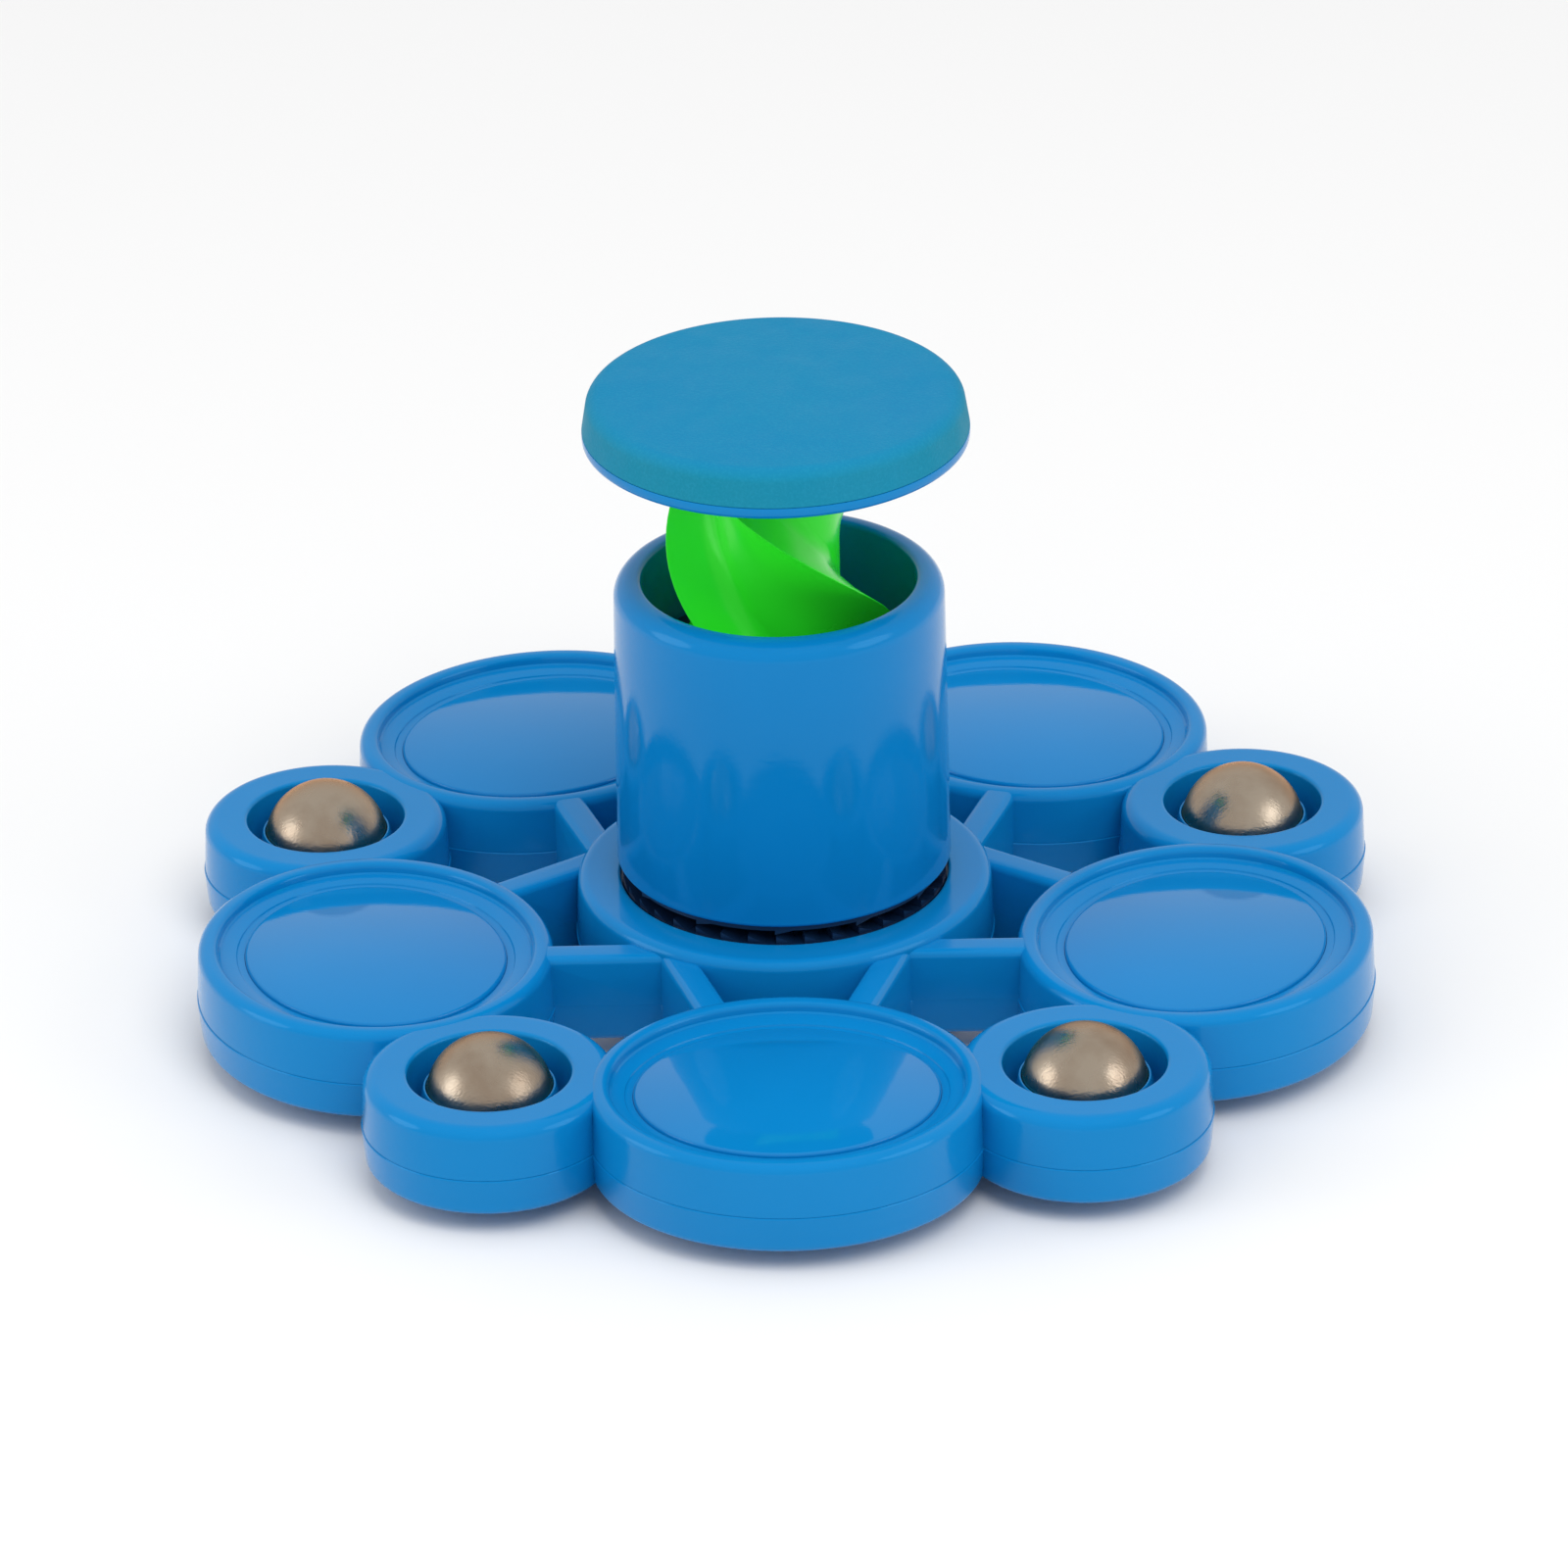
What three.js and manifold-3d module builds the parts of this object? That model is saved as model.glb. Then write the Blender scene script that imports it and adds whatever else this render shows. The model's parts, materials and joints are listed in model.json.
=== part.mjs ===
// Press-to-spin five-lobed hand spinner. Millimetres, +Z up, origin at the centre of the foot's underside.
// A foot and a hollow post stand still. The wheel runs on a ball bearing on the post. A button pushes a
// twisted shaft down through a nut in the tower, and the tower turns the wheel through a ring of teeth.
import * as THREE from "three";
import { mergeVertices } from "three/addons/utils/BufferGeometryUtils.js";
import Module from "manifold-3d";

const wasm = await Module();
wasm.setup();

// ---------- driving dimensions ----------
const LOBES = 5;
const DISH_PITCH_RADIUS = 38.0;
const DISH_HALF_WIDTH = 17.24; // across the arm
const DISH_SQUASH = 1.53; // by how much it is narrower along the arm
const POD_WALL = 4.0;
const POD_OVERLAP = 2.56; // how deep a pod reaches into the dishes beside it
const HUB_RADIUS = 18.61;
const HUB_RECESS_RADIUS = 14.58;

const FOOT_HEIGHT = 2.0; // table to wheel underside
const LOWER_SHELL_HEIGHT = 3.4;
const SEAM_GAP = 0.12;
const DISH_HEIGHT = 8.4;
const POD_HEIGHT = 8.26;
const SPOKE_HEIGHT = 8.3;
const HUB_RIM = 0.86; // from the bearing's lip to the hub's top
const SHELL_FLOOR = 1.2;
const SHELL_WALL = 2.0;
const WALL_DRAFT = 0.15;

const RIM_WIDTH = 1.95;
const RIM_DROP = 0.95; // from the rim's top to the ledge inside it
const LEDGE_FALL = 0.3; // the ledge slopes inwards by this
const DISH_DEPTH = 3.0;
const LEDGE_WIDTH = 1.29; // between the rim and the channel, across the arm
const LEDGE_DEPTH = 1.61; // the same along the arm
const INLAY_DROP = 1.1; // from the rim's top to the inlay's
const INLAY_EDGE = 0.3;
const CHANNEL_WIDTH = 0.75; // between the ledge and the inlay

const SPOKE_WIDTH = 3.0;
const SPOKE_HUB_OFFSET = 9.0; // sideways from the arm's centre line, at the hub
const SPOKE_DISH_OFFSET = 6.5;

const BALL_RADIUS = 5.556;
const BALL_LIFT = 0.244; // lowest point above the wheel's underside
const BALL_CLEARANCE = 0.19;
const CUP_WALL = 0.42;
const CUP_GAP = 0.914; // round the cup, in the pod's bore
const CUP_LIP_HEIGHT = 1.1; // above the ball's centre
const CUP_LIP_GAP = 0.075;
const CUP_HOLE_SHARE = 0.62; // of the ball's radius, in the floor under it

const TOWER_BOTTOM_RADIUS = 14.86;
const TOWER_TAPER = 0.28;
const TOWER_WALL = 2.5;
const TOWER_GAP = 1.62; // above the hub
const TOWER_HEIGHT = 27.34;
const TOWER_FLOOR = 1.5;
const TOWER_BOSS_RADIUS = 9.0;

const BUTTON_RADIUS = 16.95;
const BUTTON_REST_GAP = 0.78; // left above the tower when the button is down
const BUTTON_HEIGHT = 4.95;
const BUTTON_BAND = 1.0;
const BUTTON_WALL = 1.5;
const BUTTON_ROUND = 1.5;
const BUTTON_CROWN = 0.5;
const BUTTON_PLUG_HEIGHT = 1.6;
const STROKE = 12.5;

const LEAD = 46.0; // shaft travel for one turn of its left-handed twist
const FINS = 3;
const FIN_INSET = 2.08; // from the tower's bore to a fin's ridge
const FIN_FACE_DEG = 18; // angle that a fin's steep face takes up
const CORE_RADIUS = 5.4;
const TWIST_START_DEG = 343; // a ridge's angle at the button's underside
const TWIST_STEP = 1.5;
const NUT_HEIGHT = 5.0;
const NUT_CLEARANCE = 0.35;
const NUT_FLANGE_STEP = 0.9;

const POST_BORE_RADIUS = 2.5;
const POST_FLOOR = 6.0;
const HEX_CLEARANCE = 0.25;
const PIN_RADIUS = 2.1;
const PIN_ENTRY = 2.0;
const SPRING_RADIUS = 1.85; // of the wire's centre line
const SPRING_WIRE = 0.28; // wire radius
const SPRING_TURNS = 12;

const BEARING_BORE_RADIUS = 4.0;
const BEARING_RADIUS = 11.0;
const BEARING_HEIGHT = 7.0;
const BEARING_LIFT = 0.6; // above the wheel's underside
const RACE_WALL = 1.8;
const BEARING_BALLS = 7;
const BEARING_BALL_RADIUS = 1.98;
const RACE_GAP = 0.1;
const SHIELD_THICKNESS = 0.3;
const SHIELD_INSET = 0.12;
const CAGE_HALF_WIDTH = 0.75;
const CAGE_RIM = 0.5;
const LIP_THICKNESS = 0.55;
const LIP_WIDTH = 0.9;

const RATCHET_TEETH = 36;
const DRIVE_TEETH = 12;
const RATCHET_WIDTH = 3.0;
const RATCHET_BODY = 0.6;
const RATCHET_SHARE = 0.8; // of the pitch that a tooth fills
const TOOTH_HEIGHT = 0.7;
const DRIVE_SHARE = 0.3;
const DRIVE_BODY = 0.45;
const DRIVE_TOOTH_HEIGHT = 0.45;

const FOOT_RADIUS = 13.0;
const PAD_THICKNESS = 0.8;
const PLATE_THICKNESS = 0.8;
const FOOT_BOSS_RADIUS = 5.2;
const SCREW_RADIUS = 1.5;
const SCREW_HEAD_RADIUS = 2.9;
const SCREW_LENGTH = 7.0;
const CLIP_WIDTH = 1.3;
const CLIP_THICKNESS = 0.5;
const BUSH_WALL = 2.0;
const BUSH_HEIGHT = 2.3;

const EDGE = 0.4; // broken corner of the tower and the button
const SLIP = 0.1; // between pieces that only touch
const RUN = 0.1; // between pieces that turn in each other
const PRESS = 0.05; // between the post and the bearing
const AIR = 0.3; // end gap between moving pieces

// ---------- radii that fit to each other ----------
const dishHalfDepth = DISH_HALF_WIDTH - DISH_SQUASH;
const inlayHalfWidth = DISH_HALF_WIDTH - RIM_WIDTH - LEDGE_WIDTH - CHANNEL_WIDTH;
const inlayHalfDepth = dishHalfDepth - RIM_WIDTH - LEDGE_DEPTH - CHANNEL_WIDTH;
const podBore = BALL_RADIUS + BALL_CLEARANCE + CUP_WALL + CUP_GAP;
const podRadius = podBore + POD_WALL;
const podReach = DISH_HALF_WIDTH + podRadius - POD_OVERLAP;
const halfPitch = DISH_PITCH_RADIUS * Math.sin(Math.PI / LOBES);
const podStep = Math.sqrt(Math.max(podReach ** 2 - halfPitch ** 2, 0));
const podPitch = DISH_PITCH_RADIUS * Math.cos(Math.PI / LOBES) + podStep;
const towerTopRadius = TOWER_BOTTOM_RADIUS - TOWER_TAPER;
const towerBore = towerTopRadius - TOWER_WALL;
const finTip = towerBore - FIN_INSET;
const postRadius = BEARING_BORE_RADIUS - PRESS;
const postFlats = Math.sqrt(3) * postRadius;

// ---------- levels above the table ----------
const wheelBottom = FOOT_HEIGHT;
const seamBottom = wheelBottom + LOWER_SHELL_HEIGHT;
const seamTop = seamBottom + SEAM_GAP;
const dishTop = wheelBottom + DISH_HEIGHT;
const podTop = wheelBottom + POD_HEIGHT;
const spokeTop = wheelBottom + SPOKE_HEIGHT;
const dishFloor = dishTop - DISH_DEPTH;
const bearingBottom = wheelBottom + BEARING_LIFT;
const bearingTop = bearingBottom + BEARING_HEIGHT;
const bearingMiddle = (bearingBottom + bearingTop) / 2;
const lipTop = bearingTop + SLIP + LIP_THICKNESS;
const hubTop = lipTop + HUB_RIM;
const ballCentre = wheelBottom + BALL_LIFT + BALL_RADIUS;
const towerBottom = hubTop + TOWER_GAP;
const towerTop = towerBottom + TOWER_HEIGHT;
const clipBottom = bearingTop + SLIP;
const bushBottom = towerBottom - BUSH_HEIGHT;
const bushTop = towerBottom;
const towerClipBottom = bushTop + SLIP;
const towerFloorTop = towerBottom + TOWER_FLOOR;
const shaftLowest = Math.max(towerClipBottom + CLIP_THICKNESS, towerFloorTop) + AIR;
const shaftBottom = shaftLowest + STROKE;
const nutBottom = shaftBottom + AIR;
const nutTop = nutBottom + NUT_HEIGHT;
const buttonBottom = towerTop + STROKE + BUTTON_REST_GAP;
const buttonTop = buttonBottom + BUTTON_HEIGHT;
const bandTop = buttonBottom + BUTTON_BAND;
const plugTop = bandTop + BUTTON_PLUG_HEIGHT;
const footBossTop = bearingBottom - SLIP;
const postFloor = footBossTop + SLIP + POST_FLOOR;
const postTop = buttonBottom - STROKE - AIR;

// ---------- facets of round pieces ----------
const DISH_SEGMENTS = 24;
const POD_SEGMENTS = 18;
const HUB_SEGMENTS = 32;
const BORE_SEGMENTS = 24;
const SCREW_SEGMENTS = 12;
const CROWN_STEPS = 4;

const TAU = 2 * Math.PI;
const rad = THREE.MathUtils.degToRad;

// ---------- helpers ----------
// Closed three.js geometry to a solid that can be joined and cut.
function solid(geometry) {
  const bare = geometry.index ? geometry.toNonIndexed() : geometry.clone();
  bare.deleteAttribute("normal");
  bare.deleteAttribute("uv");
  const merged = mergeVertices(bare, 1e-4);
  return new wasm.Manifold(new wasm.Mesh({
    numProp: 3,
    vertProperties: new Float32Array(merged.attributes.position.array),
    triVerts: new Uint32Array(merged.index.array),
  }));
}

function geometryOf(body) {
  const mesh = body.getMesh();
  const geometry = new THREE.BufferGeometry();
  geometry.setAttribute("position", new THREE.BufferAttribute(mesh.vertProperties, 3));
  geometry.setIndex(new THREE.BufferAttribute(mesh.triVerts, 1));
  return geometry;
}

// Profile of [radius, height] points turned about +Z. It starts and ends on the axis, or closes on itself.
function turned(profile, segments) {
  const points = profile.map(([r, z]) => new THREE.Vector2(r, z));
  return new THREE.LatheGeometry(points, segments).rotateX(Math.PI / 2);
}

// Hollow piece: the profile's last point is joined to its first.
function ring(profile, segments) {
  return turned([...profile, profile[0]], segments);
}

function tube(inner, outer, bottom, top, segments) {
  return ring([[inner, bottom], [outer, bottom], [outer, top], [inner, top]], segments);
}

function rod(radius, bottom, top, segments) {
  return turned([[0, bottom], [radius, bottom], [radius, top], [0, top]], segments);
}

// Pushes a round shape in by the squash along the arm, which makes an oval with walls of an even thickness.
function ovalled(geometry, squash = DISH_SQUASH) {
  const core = DISH_HALF_WIDTH / 3;
  const position = geometry.attributes.position;
  for (let i = 0; i < position.count; i += 1) {
    const r = Math.hypot(position.getX(i), position.getY(i));
    const kept = r > core ? (r - squash) / r : (core - squash) / core;
    position.setY(i, position.getY(i) * kept);
  }
  return geometry;
}

function extruded(shape, bottom, height) {
  return new THREE.ExtrudeGeometry(shape, { depth: height, bevelEnabled: false }).translate(0, 0, bottom);
}

const dishAngle = (i) => rad(-90 + (360 / LOBES) * i);
const podAngle = (i) => dishAngle(i) + Math.PI / LOBES;

function atDish(geometry, i) {
  return geometry.translate(0, DISH_PITCH_RADIUS, 0).rotateZ(dishAngle(i) - Math.PI / 2);
}

function atPod(geometry, i) {
  return geometry.translate(0, podPitch, 0).rotateZ(podAngle(i) - Math.PI / 2);
}

// Outline of a lobe's upper shell: widest at the seam.
function upperProfile(radius, top) {
  return [[0, seamTop], [radius, seamTop], [radius - WALL_DRAFT, top], [0, top]];
}

function lowerProfile(radius) {
  return [[0, wheelBottom], [radius - WALL_DRAFT, wheelBottom], [radius, seamBottom], [0, seamBottom]];
}

// The two straight spokes that join one dish to the hub.
function spokes(i, bottom, top) {
  const dishEdge = DISH_PITCH_RADIUS - dishHalfDepth;
  const hubPoint = new THREE.Vector2(SPOKE_HUB_OFFSET, Math.sqrt(HUB_RADIUS ** 2 - SPOKE_HUB_OFFSET ** 2));
  const dishPoint = new THREE.Vector2(SPOKE_DISH_OFFSET, dishEdge + RIM_WIDTH);
  const run = dishPoint.clone().sub(hubPoint);
  const inner = hubPoint.clone().addScaledVector(run, -RIM_WIDTH / run.length());
  const side = new THREE.Vector2(-run.y, run.x).setLength(SPOKE_WIDTH / 2);
  return [1, -1].map((hand) => {
    const corners = [
      inner.clone().add(side),
      dishPoint.clone().add(side),
      dishPoint.clone().sub(side),
      inner.clone().sub(side),
    ];
    const shape = new THREE.Shape(corners.map((p) => new THREE.Vector2(p.x * hand, p.y)));
    return solid(extruded(shape, bottom, top - bottom).rotateZ(dishAngle(i) - Math.PI / 2));
  });
}

// ---------- wheel ----------
function wheelUpper() {
  let body = solid(turned(upperProfile(HUB_RADIUS, hubTop), HUB_SEGMENTS));
  for (let i = 0; i < LOBES; i += 1) {
    body = body.add(solid(atDish(ovalled(turned(upperProfile(DISH_HALF_WIDTH, dishTop), DISH_SEGMENTS)), i)));
    body = body.add(solid(atPod(turned(upperProfile(podRadius, podTop), POD_SEGMENTS), i)));
    spokes(i, seamTop, spokeTop).forEach((spoke) => {
      body = body.add(spoke);
    });
  }
  const rim = DISH_HALF_WIDTH - RIM_WIDTH;
  const well = inlayHalfWidth + CHANNEL_WIDTH;
  const above = hubTop + AIR;
  const ledge = dishTop - RIM_DROP;
  const ledgeFoot = ledge - LEDGE_FALL;
  const recess = [[0, ledgeFoot], [well, ledgeFoot], [rim, ledge], [rim, above], [0, above]];
  for (let i = 0; i < LOBES; i += 1) {
    body = body.subtract(solid(atDish(ovalled(turned(recess, DISH_SEGMENTS)), i)));
    const pocket = rod(well, dishFloor, above, DISH_SEGMENTS);
    body = body.subtract(solid(atDish(ovalled(pocket, inlayHalfWidth - inlayHalfDepth), i)));
    body = body.subtract(solid(atPod(rod(podBore, wheelBottom, above, POD_SEGMENTS), i)));
  }
  const seat = BEARING_RADIUS + SLIP;
  const lip = BEARING_RADIUS - LIP_WIDTH;
  const hubHollow = [
    [0, wheelBottom],
    [seat, wheelBottom],
    [seat, bearingTop + SLIP],
    [lip, bearingTop + SLIP],
    [lip, lipTop],
    [HUB_RECESS_RADIUS, lipTop],
    [HUB_RECESS_RADIUS, above],
    [0, above],
  ];
  return body.subtract(solid(turned(hubHollow, HUB_SEGMENTS)));
}

// Springy cup that holds one ball: open below, and drawn in a little above the ball's middle.
function ballCup() {
  const bore = BALL_RADIUS + BALL_CLEARANCE;
  const outer = bore + CUP_WALL;
  const lipLevel = ballCentre + CUP_LIP_HEIGHT;
  const lip = Math.sqrt(BALL_RADIUS ** 2 - CUP_LIP_HEIGHT ** 2) + CUP_LIP_GAP;
  return solid(ring([
    [bore, wheelBottom + SHELL_FLOOR],
    [outer, wheelBottom + SHELL_FLOOR],
    [outer, lipLevel],
    [lip, lipLevel],
    [bore, ballCentre],
  ], POD_SEGMENTS));
}

function wheelLower() {
  let body = solid(turned(lowerProfile(HUB_RADIUS), HUB_SEGMENTS));
  for (let i = 0; i < LOBES; i += 1) {
    body = body.add(solid(atDish(ovalled(turned(lowerProfile(DISH_HALF_WIDTH), DISH_SEGMENTS)), i)));
    body = body.add(solid(atPod(turned(lowerProfile(podRadius), POD_SEGMENTS), i)));
    spokes(i, wheelBottom, seamBottom).forEach((spoke) => {
      body = body.add(spoke);
    });
  }
  const floor = wheelBottom + SHELL_FLOOR;
  const above = seamBottom + AIR;
  const seatHole = BALL_RADIUS * CUP_HOLE_SHARE;
  for (let i = 0; i < LOBES; i += 1) {
    const pocket = rod(DISH_HALF_WIDTH - SHELL_WALL, floor, above, DISH_SEGMENTS);
    body = body.subtract(solid(atDish(ovalled(pocket), i)));
    const cupHole = turned([
      [0, wheelBottom - AIR],
      [seatHole, wheelBottom - AIR],
      [seatHole, floor],
      [BALL_RADIUS + BALL_CLEARANCE, floor],
      [BALL_RADIUS + BALL_CLEARANCE, above],
      [0, above],
    ], POD_SEGMENTS);
    body = body.add(geometryPlaced(ballCup(), i)).subtract(solid(atPod(cupHole, i)));
  }
  const seat = BEARING_RADIUS + SLIP;
  const lip = BEARING_RADIUS - LIP_WIDTH;
  const hubHollow = [
    [0, wheelBottom - AIR],
    [lip, wheelBottom - AIR],
    [lip, bearingBottom - SLIP],
    [seat, bearingBottom - SLIP],
    [seat, above],
    [0, above],
  ];
  return body.subtract(solid(turned(hubHollow, HUB_SEGMENTS)));
}

// A solid made about the axis, moved to pod i.
function geometryPlaced(body, i) {
  return solid(atPod(geometryOf(body), i));
}

function inlay(i) {
  const top = dishTop - INLAY_DROP;
  const profile = [
    [0, dishFloor + SLIP],
    [inlayHalfWidth, dishFloor + SLIP],
    [inlayHalfWidth, top - INLAY_EDGE],
    [inlayHalfWidth - INLAY_EDGE, top],
    [0, top],
  ];
  return atDish(ovalled(turned(profile, DISH_SEGMENTS), inlayHalfWidth - inlayHalfDepth), i);
}

// Ring of saw teeth, each as wide as its share of the pitch. up is 1 for teeth on top and -1 for below.
function toothedRing({ inner, outer, face, body, teeth, share, height, up }) {
  const back = face - up * body;
  let piece = solid(tube(inner, outer, Math.min(face, back), Math.max(face, back), RATCHET_TEETH));
  const base = face - (up * body) / 2;
  for (let i = 0; i < teeth; i += 1) {
    const width = (TAU / teeth) * inner * share;
    const saw = new THREE.Shape([
      new THREE.Vector2(-width / 2, base),
      new THREE.Vector2(width / 2, base),
      new THREE.Vector2(width / 2, face + up * height),
      new THREE.Vector2(-width / 2, face),
    ]);
    const length = outer - inner - 2 * SLIP;
    const tooth = new THREE.ExtrudeGeometry(saw, { depth: length, bevelEnabled: false });
    tooth.rotateX(Math.PI / 2).translate(0, outer - SLIP, 0).rotateZ((TAU / teeth) * i);
    piece = piece.add(solid(tooth));
  }
  return piece;
}

// ---------- bearing ----------
const raceGroove = BEARING_BALL_RADIUS + RACE_GAP;
const ballCircle = (BEARING_BORE_RADIUS + BEARING_RADIUS) / 2;

// Groove points of a race whose face is at the given radius; side is 1 for the outer race.
function groove(face, side) {
  const reach = Math.abs(face - ballCircle);
  const halfAngle = Math.acos(reach / raceGroove);
  return [-1, 0, 1].map((step) => [
    ballCircle + side * raceGroove * Math.cos(step * halfAngle),
    bearingMiddle + raceGroove * Math.sin(step * halfAngle),
  ]);
}

function innerRace() {
  const face = BEARING_BORE_RADIUS + RACE_WALL;
  return ring([
    [BEARING_BORE_RADIUS, bearingBottom],
    [face, bearingBottom],
    ...groove(face, -1),
    [face, bearingTop],
    [BEARING_BORE_RADIUS, bearingTop],
  ], BORE_SEGMENTS);
}

function outerRace() {
  const face = BEARING_RADIUS - RACE_WALL;
  return ring([
    [face, bearingBottom],
    [BEARING_RADIUS, bearingBottom],
    [BEARING_RADIUS, bearingTop],
    [face, bearingTop],
    ...groove(face, 1).reverse(),
  ], HUB_SEGMENTS);
}

function bearingBall(i, radius) {
  const ball = new THREE.IcosahedronGeometry(radius, 1);
  return ball.translate(ballCircle, 0, bearingMiddle).rotateZ((TAU / BEARING_BALLS) * i);
}

function bearingCage() {
  const inner = ballCircle - CAGE_HALF_WIDTH;
  const outer = ballCircle + CAGE_HALF_WIDTH;
  const top = bearingMiddle + BEARING_BALL_RADIUS + CAGE_RIM;
  let body = solid(tube(inner, outer, bearingMiddle - CAGE_RIM, top, 2 * BEARING_BALLS));
  for (let i = 0; i < BEARING_BALLS; i += 1) {
    body = body.subtract(solid(bearingBall(i, BEARING_BALL_RADIUS + 2 * RACE_GAP)));
  }
  return body;
}

function shield(bottom) {
  const inner = BEARING_BORE_RADIUS + RACE_WALL + SHIELD_INSET;
  const outer = BEARING_RADIUS - RACE_WALL - SLIP;
  return tube(inner, outer, bottom, bottom + SHIELD_THICKNESS, BORE_SEGMENTS);
}

// ---------- tower ----------
function towerSleeve() {
  const seat = towerBore - NUT_FLANGE_STEP;
  const bushHole = postRadius + RUN + BUSH_WALL + SLIP;
  const round = TOWER_WALL / 2;
  const crown = [];
  for (let step = 0; step <= CROWN_STEPS; step += 1) {
    const turn = (Math.PI * step) / CROWN_STEPS;
    crown.push([towerTopRadius - round + round * Math.cos(turn), towerTop - round * (1 - Math.sin(turn))]);
  }
  return ring([
    [bushHole, bushBottom],
    [TOWER_BOSS_RADIUS, bushBottom],
    [TOWER_BOSS_RADIUS, towerBottom],
    [TOWER_BOTTOM_RADIUS - EDGE, towerBottom],
    [TOWER_BOTTOM_RADIUS, towerBottom + EDGE],
    ...crown,
    [towerBore, nutBottom - SLIP],
    [seat, nutBottom - SLIP],
    [seat, towerFloorTop],
    [bushHole + CLIP_WIDTH, towerFloorTop],
    [bushHole + CLIP_WIDTH, towerBottom],
    [bushHole, towerBottom],
  ], HUB_SEGMENTS);
}

// Moves every side of a closed outline outwards by the margin.
function grown(outline, margin) {
  return outline.map((point, i) => {
    const before = point.clone().sub(outline.at(i - 1)).normalize();
    const after = outline[(i + 1) % outline.length].clone().sub(point).normalize();
    const out = new THREE.Vector2(before.y + after.y, -before.x - after.x).normalize();
    return point.clone().addScaledVector(out, margin / (out.x * before.y - out.y * before.x));
  });
}

// Section of the shaft. A fin has a ridge, a steep face and a flat back that runs out onto the round core.
function finOutline() {
  const back = Math.acos(CORE_RADIUS / finTip);
  const face = rad(FIN_FACE_DEG);
  const points = [];
  for (let fin = 0; fin < FINS; fin += 1) {
    const turn = (TAU / FINS) * fin;
    const at = (radius, angle) => {
      return new THREE.Vector2(radius * Math.cos(turn + angle), radius * Math.sin(turn + angle));
    };
    const ridge = at(finTip, 0);
    const foot = at(CORE_RADIUS, -back);
    const root = at(CORE_RADIUS, face);
    const gap = TAU / FINS - back - face;
    points.push(foot, foot.clone().lerp(ridge, 1 / 3), foot.clone().lerp(ridge, 2 / 3), ridge);
    points.push(ridge.clone().lerp(root, 1 / 2), root, at(CORE_RADIUS, face + gap / 2));
  }
  return points;
}

function hexagon(flats) {
  const corner = flats / Math.sqrt(3);
  const points = [];
  for (let i = 0; i < 6; i += 1) {
    points.push(new THREE.Vector2(corner * Math.cos((TAU * i) / 6), corner * Math.sin((TAU * i) / 6)));
  }
  return points;
}

// Extrudes the fin outline along the left-handed twist, so that the height alone sets its angle.
function twistedFins(margin, bottom, top) {
  const height = top - bottom;
  const steps = Math.ceil(height / TWIST_STEP);
  const section = new THREE.Shape(grown(finOutline(), margin));
  const geometry = new THREE.ExtrudeGeometry(section, { depth: height, steps, bevelEnabled: false });
  geometry.translate(0, 0, bottom);
  const position = geometry.attributes.position;
  const point = new THREE.Vector3();
  for (let i = 0; i < position.count; i += 1) {
    point.fromBufferAttribute(position, i);
    const turn = rad(TWIST_START_DEG) - (TAU * (point.z - buttonBottom)) / LEAD;
    point.applyAxisAngle(new THREE.Vector3(0, 0, 1), turn);
    position.setXYZ(i, point.x, point.y, point.z);
  }
  return solid(geometry);
}

function twistShaft() {
  const bore = new THREE.Shape(hexagon(postFlats + 2 * HEX_CLEARANCE));
  const top = buttonBottom - SLIP;
  const hole = solid(extruded(bore, shaftBottom - AIR, top - shaftBottom + 2 * AIR));
  return twistedFins(0, shaftBottom, top).subtract(hole);
}

function driveNut() {
  const block = solid(rod(towerBore - SLIP, nutBottom, nutTop, HUB_SEGMENTS));
  return block.subtract(twistedFins(NUT_CLEARANCE, nutBottom - AIR, nutTop + AIR));
}

// ---------- foot and post ----------
function guidePost() {
  const bottom = footBossTop + SLIP;
  const hexBottom = towerClipBottom + CLIP_THICKNESS;
  const shank = solid(rod(postRadius, bottom, hexBottom + SLIP, BORE_SEGMENTS));
  const hex = solid(extruded(new THREE.Shape(hexagon(postFlats)), hexBottom, postTop - hexBottom));
  const bore = solid(rod(POST_BORE_RADIUS, postFloor, postTop + AIR, SCREW_SEGMENTS));
  const screwHole = solid(rod(SCREW_RADIUS + SLIP, bottom - AIR, postFloor + AIR, SCREW_SEGMENTS));
  return shank.add(hex).subtract(bore).subtract(screwHole);
}

function footPlate() {
  const bottom = PAD_THICKNESS + SLIP;
  const top = bottom + PLATE_THICKNESS;
  const head = SCREW_HEAD_RADIUS + SLIP;
  const hole = SCREW_RADIUS + SLIP;
  return ring([
    [head, bottom],
    [FOOT_RADIUS, bottom],
    [FOOT_RADIUS, top],
    [FOOT_BOSS_RADIUS, top],
    [FOOT_BOSS_RADIUS, footBossTop],
    [hole, footBossTop],
    [hole, bottom + PLATE_THICKNESS],
  ], BORE_SEGMENTS);
}

function footScrew() {
  const bottom = PAD_THICKNESS + SLIP;
  const coneTop = bottom + PLATE_THICKNESS - SLIP;
  return turned([
    [0, bottom],
    [SCREW_HEAD_RADIUS - SLIP, bottom],
    [SCREW_RADIUS, coneTop],
    [SCREW_RADIUS, bottom + SCREW_LENGTH - SLIP],
    [0, bottom + SCREW_LENGTH - SLIP],
  ], SCREW_SEGMENTS);
}

// Wire along a helix, with both ends closed.
class Helix extends THREE.Curve {
  constructor(radius, bottom, top, turns) {
    super();
    Object.assign(this, { radius, bottom, top, turns });
  }

  getPoint(t, target = new THREE.Vector3()) {
    const angle = TAU * this.turns * t;
    const z = this.bottom + (this.top - this.bottom) * t;
    return target.set(this.radius * Math.cos(angle), this.radius * Math.sin(angle), z);
  }
}

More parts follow.
